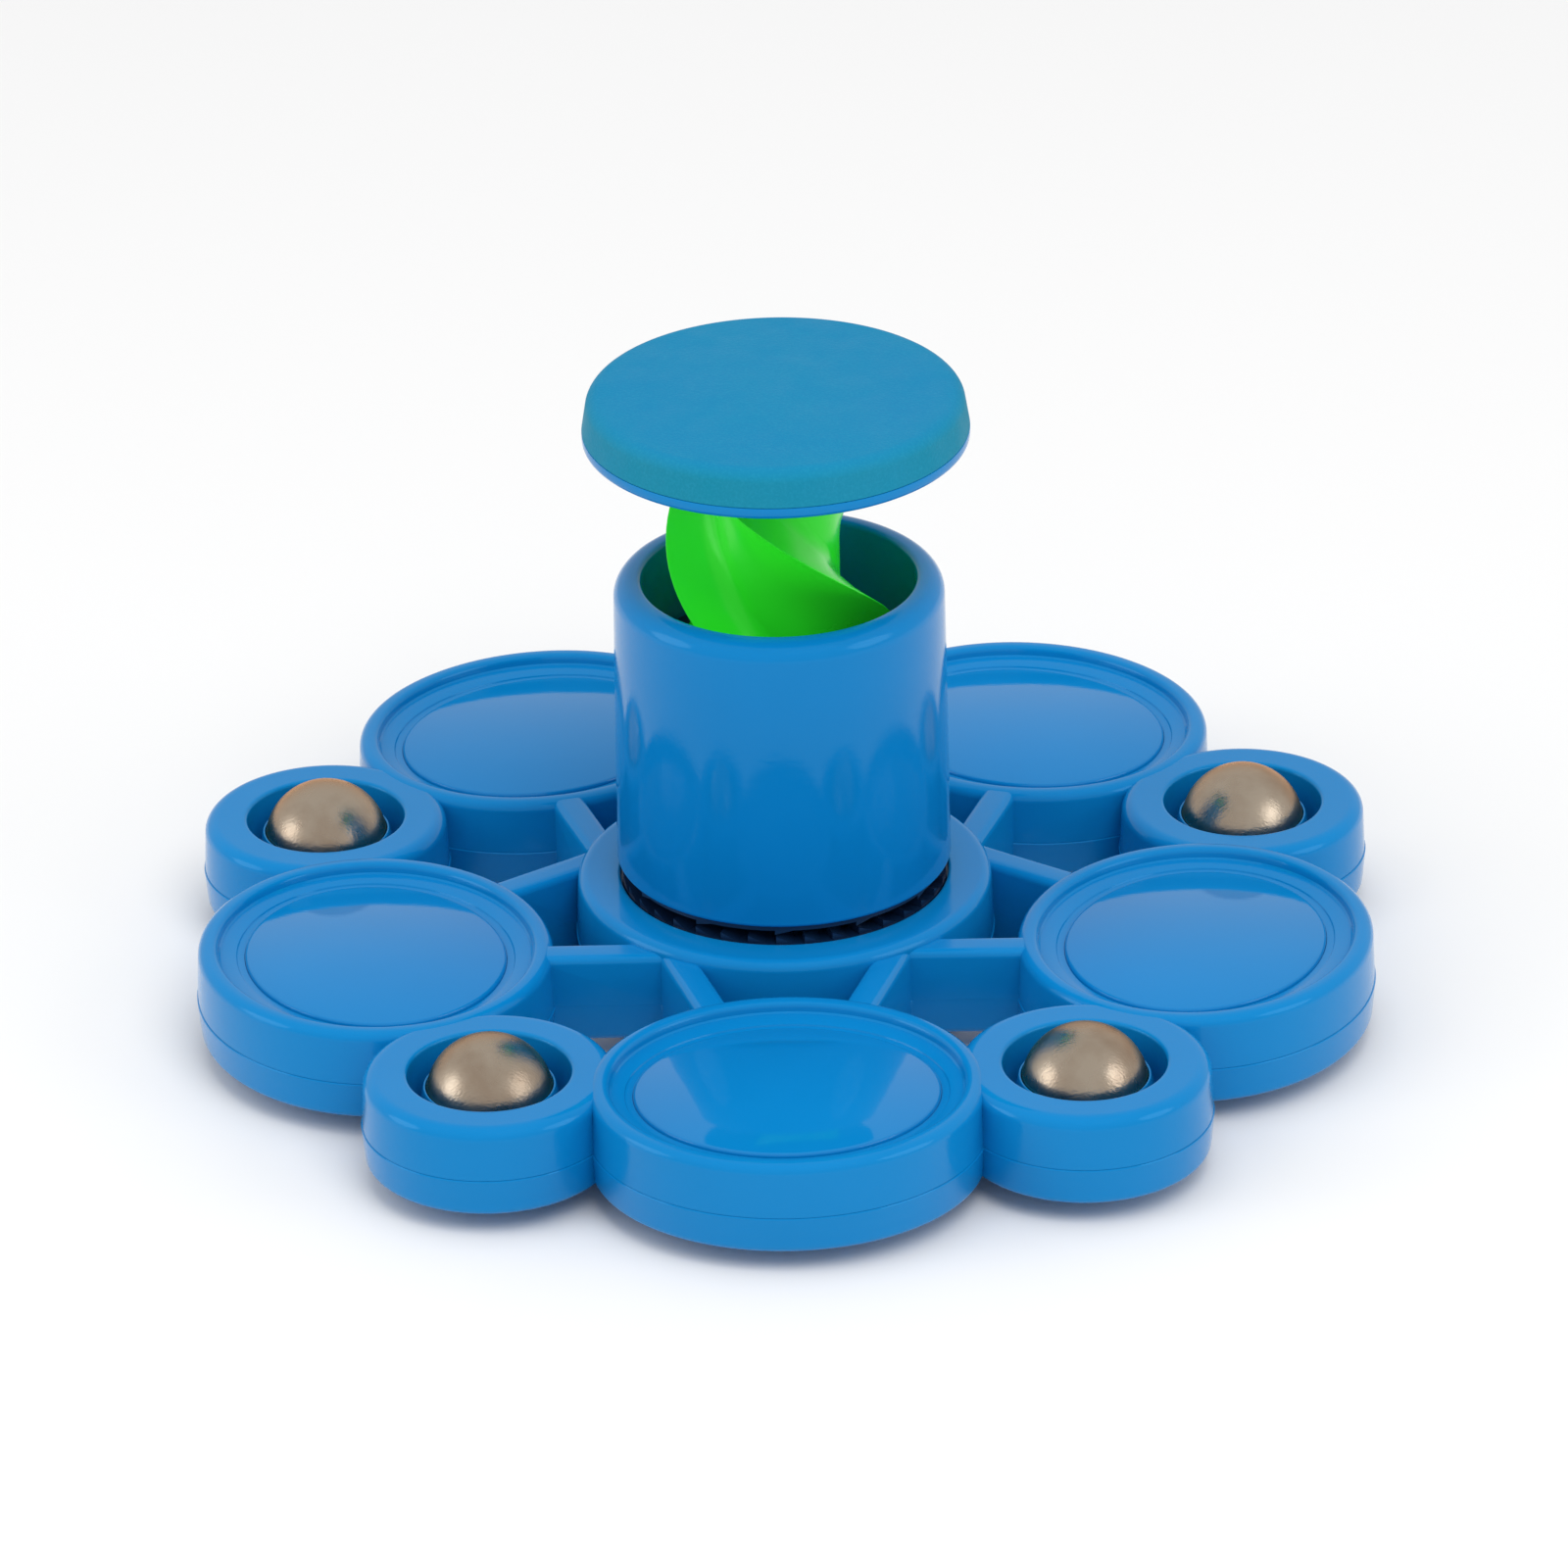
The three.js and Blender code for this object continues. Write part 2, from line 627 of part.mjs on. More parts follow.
function returnSpring() {
  const bottom = postFloor + SLIP + SPRING_WIRE;
  const top = postTop - PIN_ENTRY - SLIP - SPRING_WIRE;
  const wire = new THREE.Shape().absarc(0, 0, SPRING_WIRE, 0, TAU);
  return new THREE.ExtrudeGeometry(wire, {
    steps: SPRING_TURNS * 8,
    curveSegments: 2,
    extrudePath: new Helix(SPRING_RADIUS, bottom, top, SPRING_TURNS),
    bevelEnabled: false,
  });
}

// ---------- button ----------
function buttonBody() {
  const plug = BUTTON_RADIUS - BUTTON_WALL - SLIP;
  const hole = PIN_RADIUS + SLIP;
  return ring([
    [hole, buttonBottom],
    [BUTTON_RADIUS - EDGE, buttonBottom],
    [BUTTON_RADIUS, buttonBottom + EDGE],
    [BUTTON_RADIUS, bandTop],
    [plug, bandTop],
    [plug, plugTop],
    [hole, plugTop],
  ], HUB_SEGMENTS);
}

function buttonCover() {
  const inner = BUTTON_RADIUS - BUTTON_WALL;
  const bottom = bandTop + SLIP;
  const shoulder = buttonTop - BUTTON_CROWN;
  const flat = BUTTON_RADIUS - BUTTON_ROUND;
  const profile = [[0, plugTop + SLIP], [inner, plugTop + SLIP], [inner, bottom], [BUTTON_RADIUS, bottom]];
  for (let step = 0; step <= CROWN_STEPS; step += 1) {
    const turn = (Math.PI / 2) * (step / CROWN_STEPS);
    profile.push([flat + BUTTON_ROUND * Math.cos(turn), shoulder + BUTTON_ROUND * (Math.sin(turn) - 1)]);
  }
  profile.push([flat / 2, buttonTop - BUTTON_CROWN / 4]);
  profile.push([0, buttonTop]);
  return turned(profile, HUB_SEGMENTS);
}

function springPin() {
  return rod(PIN_RADIUS, postTop - PIN_ENTRY, plugTop - SLIP, SCREW_SEGMENTS);
}

// ---------- materials ----------
const material = (color, roughness, metalness = 0) =>
  new THREE.MeshStandardMaterial({ color, roughness, metalness });
const gloss = material(0x1c82d0, 0.18);
const glossInlay = material(0x2f8bd2, 0.1);
const softTouch = material(0x2590c4, 0.75);
const green = material(0x12b552, 0.25);
const dark = material(0x121c33, 0.45);
const steel = material(0xc2bcb0, 0.12, 1);
const zinc = material(0xa9adb2, 0.35, 1);
const nylon = material(0xd9dde0, 0.5);
const rubber = material(0x1d2126, 0.85);

// ---------- assembly ----------
const spinner = new THREE.Group();

function put(name, shape, finish) {
  const geometry = shape.isBufferGeometry ? shape : geometryOf(shape);
  const mesh = new THREE.Mesh(geometry, finish);
  mesh.name = name;
  spinner.add(mesh);
}

put("foot_pad", rod(FOOT_RADIUS, 0, PAD_THICKNESS, HUB_SEGMENTS), rubber);
put("foot_plate", footPlate(), gloss);
put("foot_screw", footScrew(), zinc);
put("guide_post", guidePost(), nylon);
put("bearing_inner_race", innerRace(), steel);
const clipOuter = postRadius + SLIP + CLIP_WIDTH;
const clip = (bottom) => tube(postRadius + SLIP, clipOuter, bottom, bottom + CLIP_THICKNESS, BORE_SEGMENTS);
put("bearing_clip", clip(clipBottom), zinc);
put("tower_clip", clip(towerClipBottom), zinc);

put("bearing_cage", bearingCage(), zinc);
for (let i = 0; i < BEARING_BALLS; i += 1) {
  put(`bearing_ball_${i + 1}`, bearingBall(i, BEARING_BALL_RADIUS), steel);
}

put("wheel_lower", wheelLower(), gloss);
put("wheel_upper", wheelUpper(), gloss);
put("bearing_outer_race", outerRace(), steel);
put("bearing_shield_lower", shield(bearingBottom + SHIELD_THICKNESS), zinc);
put("bearing_shield_upper", shield(bearingTop - 2 * SHIELD_THICKNESS), zinc);
const ratchetOuter = HUB_RECESS_RADIUS - SLIP;
const ratchetInner = ratchetOuter - RATCHET_WIDTH;
const ratchetFace = lipTop + SLIP + RATCHET_BODY;
put("ratchet_ring", toothedRing({
  inner: ratchetInner,
  outer: ratchetOuter,
  face: ratchetFace,
  body: RATCHET_BODY,
  teeth: RATCHET_TEETH,
  share: RATCHET_SHARE,
  height: TOOTH_HEIGHT,
  up: 1,
}), dark);
for (let i = 0; i < LOBES; i += 1) {
  put(`disc_inlay_${i + 1}`, inlay(i), glossInlay);
}
for (let i = 0; i < LOBES; i += 1) {
  const ball = new THREE.IcosahedronGeometry(BALL_RADIUS, 2).translate(0, 0, ballCentre);
  put(`steel_ball_${i + 1}`, atPod(ball, i), steel);
}

put("tower_sleeve", towerSleeve(), gloss);
const bushBore = postRadius + RUN;
put("tower_bush", tube(bushBore, bushBore + BUSH_WALL, bushBottom, bushTop, BORE_SEGMENTS), dark);
const driveFace = towerBottom - SLIP - DRIVE_BODY;
put("drive_ring", toothedRing({
  inner: ratchetInner,
  outer: ratchetOuter - AIR,
  face: driveFace,
  body: DRIVE_BODY,
  teeth: DRIVE_TEETH,
  share: DRIVE_SHARE,
  height: DRIVE_TOOTH_HEIGHT,
  up: -1,
}), dark);
put("drive_nut", driveNut(), dark);

put("twist_shaft", twistShaft(), green);
put("spring_pin", springPin(), zinc);
put("button_body", buttonBody(), gloss);
put("button_cover", buttonCover(), softTouch);
put("return_spring", returnSpring(), steel);

export default spinner;
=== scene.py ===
# %% [markdown]
# # A press-to-spin desk spinner
# The toy is a blue wheel with five finger dishes and five steel balls. A button on top of its tower
# pushes a green twisted shaft down, and the twist turns the tower and the wheel. The frame below gives
# every body its place and its motion. This lesson builds the fine surfaces and finishes around it.
# %% Load the frame
import json
import math

import bmesh
import bpy
from mathutils import Matrix, Vector


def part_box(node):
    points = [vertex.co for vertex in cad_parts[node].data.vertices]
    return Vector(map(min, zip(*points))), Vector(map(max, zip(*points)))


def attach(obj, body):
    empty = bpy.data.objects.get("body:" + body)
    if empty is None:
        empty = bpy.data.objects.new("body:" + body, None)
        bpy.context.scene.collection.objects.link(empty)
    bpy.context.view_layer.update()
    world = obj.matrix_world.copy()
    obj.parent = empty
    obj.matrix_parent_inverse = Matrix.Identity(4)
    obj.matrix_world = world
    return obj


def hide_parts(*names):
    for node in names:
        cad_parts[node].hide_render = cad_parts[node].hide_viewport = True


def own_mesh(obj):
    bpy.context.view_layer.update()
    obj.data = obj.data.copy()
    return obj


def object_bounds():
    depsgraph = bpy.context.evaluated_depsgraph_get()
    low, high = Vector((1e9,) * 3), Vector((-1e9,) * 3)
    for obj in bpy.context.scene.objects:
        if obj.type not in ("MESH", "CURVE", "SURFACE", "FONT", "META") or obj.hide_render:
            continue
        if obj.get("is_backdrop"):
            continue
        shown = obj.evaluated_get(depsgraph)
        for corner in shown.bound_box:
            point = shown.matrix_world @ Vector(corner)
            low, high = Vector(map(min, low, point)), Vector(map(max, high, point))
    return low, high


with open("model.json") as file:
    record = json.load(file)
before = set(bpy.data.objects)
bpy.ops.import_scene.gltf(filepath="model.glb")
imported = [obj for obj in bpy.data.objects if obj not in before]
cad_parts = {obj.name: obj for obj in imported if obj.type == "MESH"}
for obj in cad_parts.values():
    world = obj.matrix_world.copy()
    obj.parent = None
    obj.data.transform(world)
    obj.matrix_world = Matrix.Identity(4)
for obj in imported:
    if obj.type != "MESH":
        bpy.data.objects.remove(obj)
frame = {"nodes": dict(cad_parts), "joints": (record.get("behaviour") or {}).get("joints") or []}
cad_low, cad_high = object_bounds()

# %% [markdown]
# ## Levels
# We work in millimetres and turn the result into metres once, when a piece is finished. The frame's
# boxes tell where each piece starts and ends, so a level is read from there and never typed twice.
# %% Levels and sizes in millimetres
MM = 0.001
TURN = 2 * math.pi
LOBES = 5


def low(node):
    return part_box(node)[0].z / MM


def high(node):
    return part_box(node)[1].z / MM


wheel_floor = low("wheel_lower")
seam_top = low("wheel_upper")
SEAM_GAP = 0.01
seam_bottom = seam_top - SEAM_GAP
hub_top = high("wheel_upper")
HUB_ABOVE_DISH = 0.71
POD_BELOW_DISH = 0.14
SPOKE_BELOW_DISH = 0.1
dish_top = hub_top - HUB_ABOVE_DISH
pod_top = dish_top - POD_BELOW_DISH
spoke_top = dish_top - SPOKE_BELOW_DISH
SHELL_FLOOR = 1.2
DRAFT = 0.15
print(f"wheel from {wheel_floor:.2f} to {hub_top:.2f} mm, parting line at {seam_top:.2f} mm")

# %% [markdown]
# ## Three small helpers
# Most pieces of this toy are round, so one helper turns an outline about the axis with bmesh's spin.
# The outline is a list of radius and height. Round corners come from an arc, which is also a helper.
# %% Arc and turned shape
def arc(radius, height, size, start, stop, steps=7):
    """Points of a round corner: its centre, its size, and the angles it runs between."""
    points = []
    for step in range(steps + 1):
        angle = math.radians(start + (stop - start) * step / steps)
        points.append((radius + size * math.cos(angle), height + size * math.sin(angle)))
    return points


def turned(outline, steps=96, ring=False):
    """Spins an outline about +Z. A ring's outline closes on itself; any other ends on the axis."""
    shape = bmesh.new()
    corners = [shape.verts.new((radius, 0, height)) for radius, height in outline]
    edges = [shape.edges.new(pair) for pair in zip(corners, corners[1:])]
    if ring:
        edges.append(shape.edges.new((corners[-1], corners[0])))
    bmesh.ops.spin(
        shape, geom=corners + edges, cent=(0, 0, 0), axis=(0, 0, 1), dvec=(0, 0, 0),
        angle=TURN, steps=steps, use_merge=True, use_duplicate=False,
    )
    bmesh.ops.remove_doubles(shape, verts=shape.verts, dist=1e-5)
    bmesh.ops.recalc_face_normals(shape, faces=shape.faces)
    return shape


probe = turned([(0, 0), (1, 0), (1, 1), (0, 1)], 12)
print("a turned test disc has", len(probe.faces), "faces")
probe.free()

# %% [markdown]
# A finished piece needs the same few steps each time: metres, smooth shading with crisp corners, a
# material, a body to ride on and the frame nodes that it stands for. One helper does them in order.
# %% Finish a piece
CREASE_ANGLE = math.radians(26)


def to_object(shape, name):
    """A bmesh in millimetres becomes an object in metres."""
    mesh = bpy.data.meshes.new(name)
    shape.to_mesh(mesh)
    shape.free()
    mesh.transform(Matrix.Scale(MM, 4))
    piece = bpy.data.objects.new(name, mesh)
    bpy.context.scene.collection.objects.link(piece)
    return piece


def finished(piece, body, finish, slot, *nodes):
    """Shades a piece, gives it its finish, and ties it to its body and to the nodes it replaces."""
    mesh = piece.data
    mesh.polygons.foreach_set("use_smooth", [True] * len(mesh.polygons))
    mesh.set_sharp_from_angle(angle=CREASE_ANGLE)
    mesh.materials.clear()
    mesh.materials.append(finish)
    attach(piece, body)
    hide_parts(*nodes)
    print(f"{piece.name}: {len(mesh.polygons)} faces on {body}")
    return piece


# %% [markdown]
# Moulded parts that grow into each other are joined with the Boolean modifier. It is applied at once,
# so that only a plain mesh stays, and the cutting shapes are deleted.
# %% Join and cut
def combined(piece, others, operation="UNION"):
    """Joins other objects to a piece, or cuts them from it, one after the other."""
    for other in others:
        tool = piece.modifiers.new("combine", "BOOLEAN")
        tool.operation = operation
        tool.solver = "MANIFOLD"
        tool.object = other
        made = bpy.data.meshes.new_from_object(
            piece.evaluated_get(bpy.context.evaluated_depsgraph_get())
        )
        piece.modifiers.clear()
        piece.data = made
        bpy.data.objects.remove(other)
    return piece


print("helpers ready")

# %% [markdown]
# ## Camera
# A long lens looks down at the toy from the front, about 27 degrees above the table. The camera leans
# by about a degree, as a hand-held one does.
# %% Camera
CAMERA_RISE = math.radians(26.975)
CAMERA_TURN = math.radians(0.22)
CAMERA_LEAN = math.radians(1.144)
CAMERA_DISTANCE = 0.8664
AIM = Vector((0.0001, 0.0, 0.01942))

lens = bpy.data.cameras.new("camera")
lens.sensor_width = 36.0
lens.lens = 224.15
lens.clip_start = 0.01
camera = bpy.data.objects.new("camera", lens)
bpy.context.scene.collection.objects.link(camera)
backwards = Vector((0, -math.cos(CAMERA_RISE), math.sin(CAMERA_RISE)))
backwards.rotate(Matrix.Rotation(CAMERA_TURN, 3, "Z"))
across = Vector((math.cos(CAMERA_TURN), math.sin(CAMERA_TURN), 0))
upwards = backwards.cross(across)
leaning_across = across * math.cos(CAMERA_LEAN) - upwards * math.sin(CAMERA_LEAN)
leaning_up = across * math.sin(CAMERA_LEAN) + upwards * math.cos(CAMERA_LEAN)
view = Matrix((leaning_across, leaning_up, backwards)).transposed().to_4x4()
view.translation = AIM + backwards * CAMERA_DISTANCE
camera.matrix_world = view
bpy.context.scene.camera = camera
print("camera at", [round(value, 3) for value in camera.location])

# %% [markdown]
# ## Table and light
# A pale table and a bright even room. The key light is a big soft one, in front and to the right, high
# up: it gives the rounded rims their brighter edge. It is hidden from reflections, so the flat faces
# mirror only the even room, as under a large studio tent. Weaker ones fill in from the top and the
# left, and two small ones at the sides do show in reflections: they give each ball its two highlights.
# %% Table, room and lights
def table_finish():
    finish = bpy.data.materials.new("table_paper")
    finish.use_nodes = True
    shader = finish.node_tree.nodes["Principled BSDF"]
    shader.inputs["Base Color"].default_value = (0.88, 0.88, 0.88, 1)
    shader.inputs["Roughness"].default_value = 0.9
    return finish


top = bmesh.new()
bmesh.ops.create_grid(top, x_segments=1, y_segments=1, size=2500)
table = to_object(top, "table")
table.data.materials.append(table_finish())
table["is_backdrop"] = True

room = bpy.data.worlds.new("room")
room.use_nodes = True
room.node_tree.nodes["Background"].inputs["Color"].default_value = (1.0, 1.0, 1.0, 1)
room.node_tree.nodes["Background"].inputs["Strength"].default_value = 0.62
bpy.context.scene.world = room
bpy.context.scene.view_settings.view_transform = "Standard"


def soft_light(name, turn, rise, distance, size, power, mirrored=False, tint=(1, 1, 1)):
    """A round soft light. turn is measured from the front to the right, and rise above the table."""
    lamp = bpy.data.lights.new(name, "AREA")
    lamp.shape = "DISK"
    lamp.size = size
    lamp.energy = power
    lamp.color = tint
    holder = bpy.data.objects.new(name, lamp)
    bpy.context.scene.collection.objects.link(holder)
    turn, rise = math.radians(turn), math.radians(rise)
    away = Vector((math.sin(turn) * math.cos(rise), -math.cos(turn) * math.cos(rise), math.sin(rise)))
    holder.location = Vector((0, 0, 0.02)) + away * distance
    holder.rotation_euler = away.to_track_quat("Z", "Y").to_euler()
    holder.visible_glossy = mirrored


soft_light("key_softbox", 25, 55, 1.0, 0.6, 3.2)
soft_light("top_softbox", 0, 86, 1.0, 0.7, 2.0)
soft_light("left_fill", -70, 45, 1.0, 0.7, 1.2)
soft_light("left_lamp", -80, 18, 0.9, 0.5, 1.0, mirrored=True)
soft_light("right_lamp", 66, 26, 0.9, 0.5, 0.9, mirrored=True)
print("table, room and", len(bpy.data.lights), "lights are in place")

# %% [markdown]
# ## Finishes
# Moulded plastic is never one flat colour: the colour drifts a little, tiny specks and hairlines catch
# the light, and the gloss changes from place to place. Each finish gets these three from noise in
# object space, so the pattern stays on the part when it turns.
# %% Node helpers
class Finish:
    """A Principled material that is wired step by step."""

    def __init__(self, name, colour, roughness, metallic=0.0):
        self.material = bpy.data.materials.new(name)
        self.material.use_nodes = True
        self.nodes = self.material.node_tree.nodes
        self.links = self.material.node_tree.links
        self.shader = self.nodes["Principled BSDF"]
        self.colour = colour
        self.set("Base Color", (*colour, 1))
        self.set("Roughness", roughness)
        self.set("Metallic", metallic)
        self.space = self.nodes.new("ShaderNodeTexCoord").outputs["Object"]

    def set(self, socket, value):
        self.shader.inputs[socket].default_value = value

    def noise(self, scale, detail=2.0, stretch=(1, 1, 1)):
        """Noise in object space, scale in waves per metre, drawn out along the axes by stretch."""
        mapping = self.nodes.new("ShaderNodeMapping")
        mapping.inputs["Scale"].default_value = stretch
        self.links.new(self.space, mapping.inputs["Vector"])
        noise = self.nodes.new("ShaderNodeTexNoise")
        noise.inputs["Scale"].default_value = scale
        noise.inputs["Detail"].default_value = detail
        self.links.new(mapping.outputs["Vector"], noise.inputs["Vector"])
        return noise.outputs["Fac"]

    def ranged(self, value, start, stop, low_value, high_value):
        """Maps a value's range from start to stop onto low_value to high_value."""
        remap = self.nodes.new("ShaderNodeMapRange")
        remap.inputs["From Min"].default_value = start
        remap.inputs["From Max"].default_value = stop
        remap.inputs["To Min"].default_value = low_value
        remap.inputs["To Max"].default_value = high_value
        self.links.new(value, remap.inputs["Value"])
        return remap.outputs["Result"]

    def tinted(self, value, other):
        """Mixes the finish's colour with another one by a value from 0 to 1."""
        mix = self.nodes.new("ShaderNodeMix")
        mix.data_type = "RGBA"
        mix.inputs[6].default_value = self.shader.inputs["Base Color"].default_value
        mix.inputs[7].default_value = (*other, 1)
        if self.shader.inputs["Base Color"].is_linked:
            self.links.new(self.shader.inputs["Base Color"].links[0].from_socket, mix.inputs[6])
        self.links.new(value, mix.inputs[0])
        self.links.new(mix.outputs[2], self.shader.inputs["Base Color"])

    def rough(self, value):
        self.links.new(value, self.shader.inputs["Roughness"])

    def bump(self, value, strength, distance):
        """Adds a bump on top of the ones that are already there."""
        bump = self.nodes.new("ShaderNodeBump")
        bump.inputs["Strength"].default_value = strength
        bump.inputs["Distance"].default_value = distance
        self.links.new(value, bump.inputs["Height"])
        if self.shader.inputs["Normal"].is_linked:
            self.links.new(self.shader.inputs["Normal"].links[0].from_socket, bump.inputs["Normal"])
        self.links.new(bump.outputs["Normal"], self.shader.inputs["Normal"])


print("finish helper ready")

# %% [markdown]
# ### Glossy plastic
# One function makes every glossy moulding. A slow drift lightens the colour in places, a fine noise
# breaks the gloss, long thin noise gives hairline scuffs, and sparse specks are tiny moulding faults.
# The green is very bright even in the button's shade, so it gets a painted glow: a little emission that
# stands in for the light that the shade holds back. How much is given below.
# %% Glossy plastics
def glossy(name, colour, light, mirror, roughness=0.1, scuffs=0.06, painted_glow=0.0):
    finish = Finish(name, colour, roughness)
    finish.tinted(finish.ranged(finish.noise(45, 3), 0.35, 0.75, 0.0, 0.55), light)
    finish.tinted(finish.ranged(finish.noise(900, 2), 0.74, 0.8, 0.0, 0.5), light)
    finish.rough(finish.ranged(finish.noise(160, 4), 0.3, 0.75, roughness * 0.7, roughness * 1.5))
    finish.bump(finish.noise(140, 2), 0.10, 0.00025)
    finish.bump(finish.noise(700, 3, (1, 9, 3)), scuffs, 0.00012)
    finish.set("Specular Tint", (*mirror, 1))
    finish.set("IOR", 1.5)
    # Painted glow: emission in the part's own colour stands in for light in the button's shade.
    if painted_glow:
        finish.set("Emission Color", (*colour, 1))
        finish.set("Emission Strength", painted_glow)
    return finish.material


BLUE = (0.002, 0.203, 0.52)
BLUE_LIGHT = (0.005, 0.228, 0.57)
BLUE_MIRROR = (0.3, 0.7, 1.0)
blue_gloss = glossy("blue_gloss", BLUE, BLUE_LIGHT, BLUE_MIRROR)
inlay_gloss = glossy("inlay_gloss", BLUE, BLUE_LIGHT, (0.7, 0.85, 1.0), roughness=0.035, scuffs=0.02)
SHAFT_GREEN = (0.02, 0.76, 0.02)
# The green shaft gets a painted glow, emission in place of the light that the button's shade holds back.
green_gloss = glossy("green_gloss", SHAFT_GREEN, (0.06, 0.85, 0.04), (0.5, 1.0, 0.5), roughness=0.2, painted_glow=0.12)
print("glossy plastics:", blue_gloss.name, inlay_gloss.name, green_gloss.name)

# %% [markdown]
# ### Crown of the inlays
# The front plate mirrors the tower narrower than a flat plate would, so the mirror is given a crown. The
# radius is given. A real crown that strong would rise by about 1.5 mm, and the plates show no
# such rise, so the mesh stays flat and only a bump bends the mirror. Its height falls with the square of
# the distance from the plate's own middle.
# %% Crowned mirror
CROWN_RADIUS = 0.06


def crown_of(material, radius):
    """Makes a flat plate mirror like a crowned one. Its UV map holds metres from the plate's middle."""
    nodes, links = material.node_tree.nodes, material.node_tree.links
    place = nodes.new("ShaderNodeUVMap")
    place.uv_map = "plate"
    square = nodes.new("ShaderNodeVectorMath")
    square.operation = "DOT_PRODUCT"
    links.new(place.outputs["UV"], square.inputs[0])
    links.new(place.outputs["UV"], square.inputs[1])
    fall = nodes.new("ShaderNodeMath")
    fall.operation = "MULTIPLY"
    fall.inputs[1].default_value = -0.5 / radius
    links.new(square.outputs["Value"], fall.inputs[0])
    bump = nodes.new("ShaderNodeBump")
    bump.inputs["Distance"].default_value = 1.0
    links.new(fall.outputs["Value"], bump.inputs["Height"])
    shader = nodes["Principled BSDF"]
    links.new(shader.inputs["Normal"].links[0].from_socket, bump.inputs["Normal"])
    links.new(bump.outputs["Normal"], shader.inputs["Normal"])


crown_of(inlay_gloss, CROWN_RADIUS)
print("inlays mirror like plates with a crown radius of", CROWN_RADIUS / MM, "mm")

# %% [markdown]
# ### Soft-touch coating
# The button's top has a rubbery lacquer. It is matt and barely mirrors anything, and its fine grain is
# only a few hundredths of a millimetre deep, so fine noise drives both the tint and the bump. A height
# mask paints the top bluer than the greener side: a painted sheen for the grazing light the top catches.
# %% Soft touch
def soft_touch():
    finish = Finish("soft_touch_teal", (0.002, 0.222, 0.325), 0.62)
    split = finish.nodes.new("ShaderNodeSeparateXYZ")
    finish.links.new(finish.space, split.inputs["Vector"])
    face = high("button_cover") * MM
    # Painted sheen: the top face is tinted bluer than the side for the grazing light it catches.
    painted_top_sheen = finish.ranged(split.outputs["Z"], face - 0.0016, face - 0.0004, 0.0, 1.0)
    finish.tinted(painted_top_sheen, (0.003, 0.205, 0.415))
    finish.tinted(finish.ranged(finish.noise(60, 3), 0.35, 0.7, 0.0, 0.5), (0.005, 0.23, 0.41))
    finish.tinted(finish.ranged(finish.noise(4200, 2), 0.45, 0.75, 0.0, 0.35), (0.015, 0.29, 0.46))
    finish.rough(finish.ranged(finish.noise(300, 2), 0.3, 0.7, 0.55, 0.7))
    finish.bump(finish.noise(3600, 3), 0.35, 0.00012)
    finish.set("Specular IOR Level", 0.2)
    return finish.material


soft_touch_teal = soft_touch()
print("soft touch:", soft_touch_teal.name)

# %% [markdown]
# ### Metals, nylon and rubber
# The loose balls are polished steel that fingers have smudged: warm, with cloudy gloss and hairlines.
# The bearing, clips and screw are plainer. Nylon and rubber only need a fine grain.
# %% Metals
def metal(name, colour, roughness, cloud, warm, scratch=0.05, edge=None):
    finish = Finish(name, colour, roughness, 1.0)
    finish.tinted(finish.ranged(finish.noise(180, 5), 0.42, 0.72, 0.0, 0.9), warm)
    finish.rough(finish.ranged(finish.noise(350, 5), 0.35, 0.7, roughness, roughness + cloud))
    finish.bump(finish.noise(1500, 3, (1, 5, 2)), scratch, 0.00006)
    if edge:
        finish.set("Specular Tint", (*edge, 1))
    return finish.material


def grained(name, colour, light, roughness, grain):
    finish = Finish(name, colour, roughness)
    finish.tinted(finish.ranged(finish.noise(120, 3), 0.35, 0.75, 0.0, 0.6), light)
    finish.bump(finish.noise(2600, 3), grain, 0.0001)
    return finish.material


ball_steel = metal("ball_steel", (0.55, 0.46, 0.36), 0.24, 0.12, (0.38, 0.27, 0.19), 0.5, (1.0, 0.62, 0.42))
bearing_steel = metal("bearing_steel", (0.62, 0.62, 0.62), 0.18, 0.1, (0.55, 0.55, 0.56))
zinc = metal("zinc", (0.55, 0.57, 0.60), 0.3, 0.15, (0.45, 0.47, 0.5))
dark_nylon = grained("dark_nylon", (0.004, 0.014, 0.045), (0.008, 0.035, 0.10), 0.3, 0.15)
white_nylon = grained("white_nylon", (0.66, 0.68, 0.70), (0.72, 0.73, 0.74), 0.45, 0.1)
foot_rubber = grained("foot_rubber", (0.018, 0.020, 0.023), (0.03, 0.032, 0.036), 0.8, 0.5)
print("metals, nylons and rubber ready")

# %% [markdown]
# ## The wheel
# The wheel is two mouldings that meet at a parting line round the wall. Each is a flower of lobes: five
# oval dishes, five round pods, a hub and ten spokes. We turn every lobe on its own, with its soft rim,
# and then join them, so the walls meet in sharp creases as they do in a real mould.
# %% Wheel sizes
DISH_PITCH = 38.0
DISH_WIDE = 17.24
DISH_DEEP = 15.71
RIM_OUTER = 0.95
RIM_INNER = 0.55
RIM_WIDTH = 1.95
LEDGE_DROP = 0.95
LEDGE_FALL = 0.3
CHANNEL = 0.75
CHANNEL_FLOOR = 0.32
INLAY_WIDE = 13.25
INLAY_DEEP = 11.4
POD_PITCH = math.hypot(*frame["joints"][-1]["pos_m"][:2]) / MM
POD_RADIUS = 11.08
POD_BORE = 7.08
HUB_RADIUS = 18.61
HUB_RECESS = 14.58
BEARING_SEAT = 11.1
BEARING_LIP = 10.1
HUB_EDGE = 0.95
POD_EDGE = 1.2
bearing_low = low("bearing_outer_race")
bearing_high = high("bearing_outer_race")
inlay_low = low("disc_inlay_1")
inlay_high = high("disc_inlay_1")
SEAM_EDGE = 0.03
SEAM_STEP = 0.09


def lobe_turn(index, half=0.0):
    """Matrix that turns +Y to the middle of dish index, or to the pod after it with half of 0.5."""
    return Matrix.Rotation(TURN * (index + half) / LOBES - math.pi, 4, "Z")


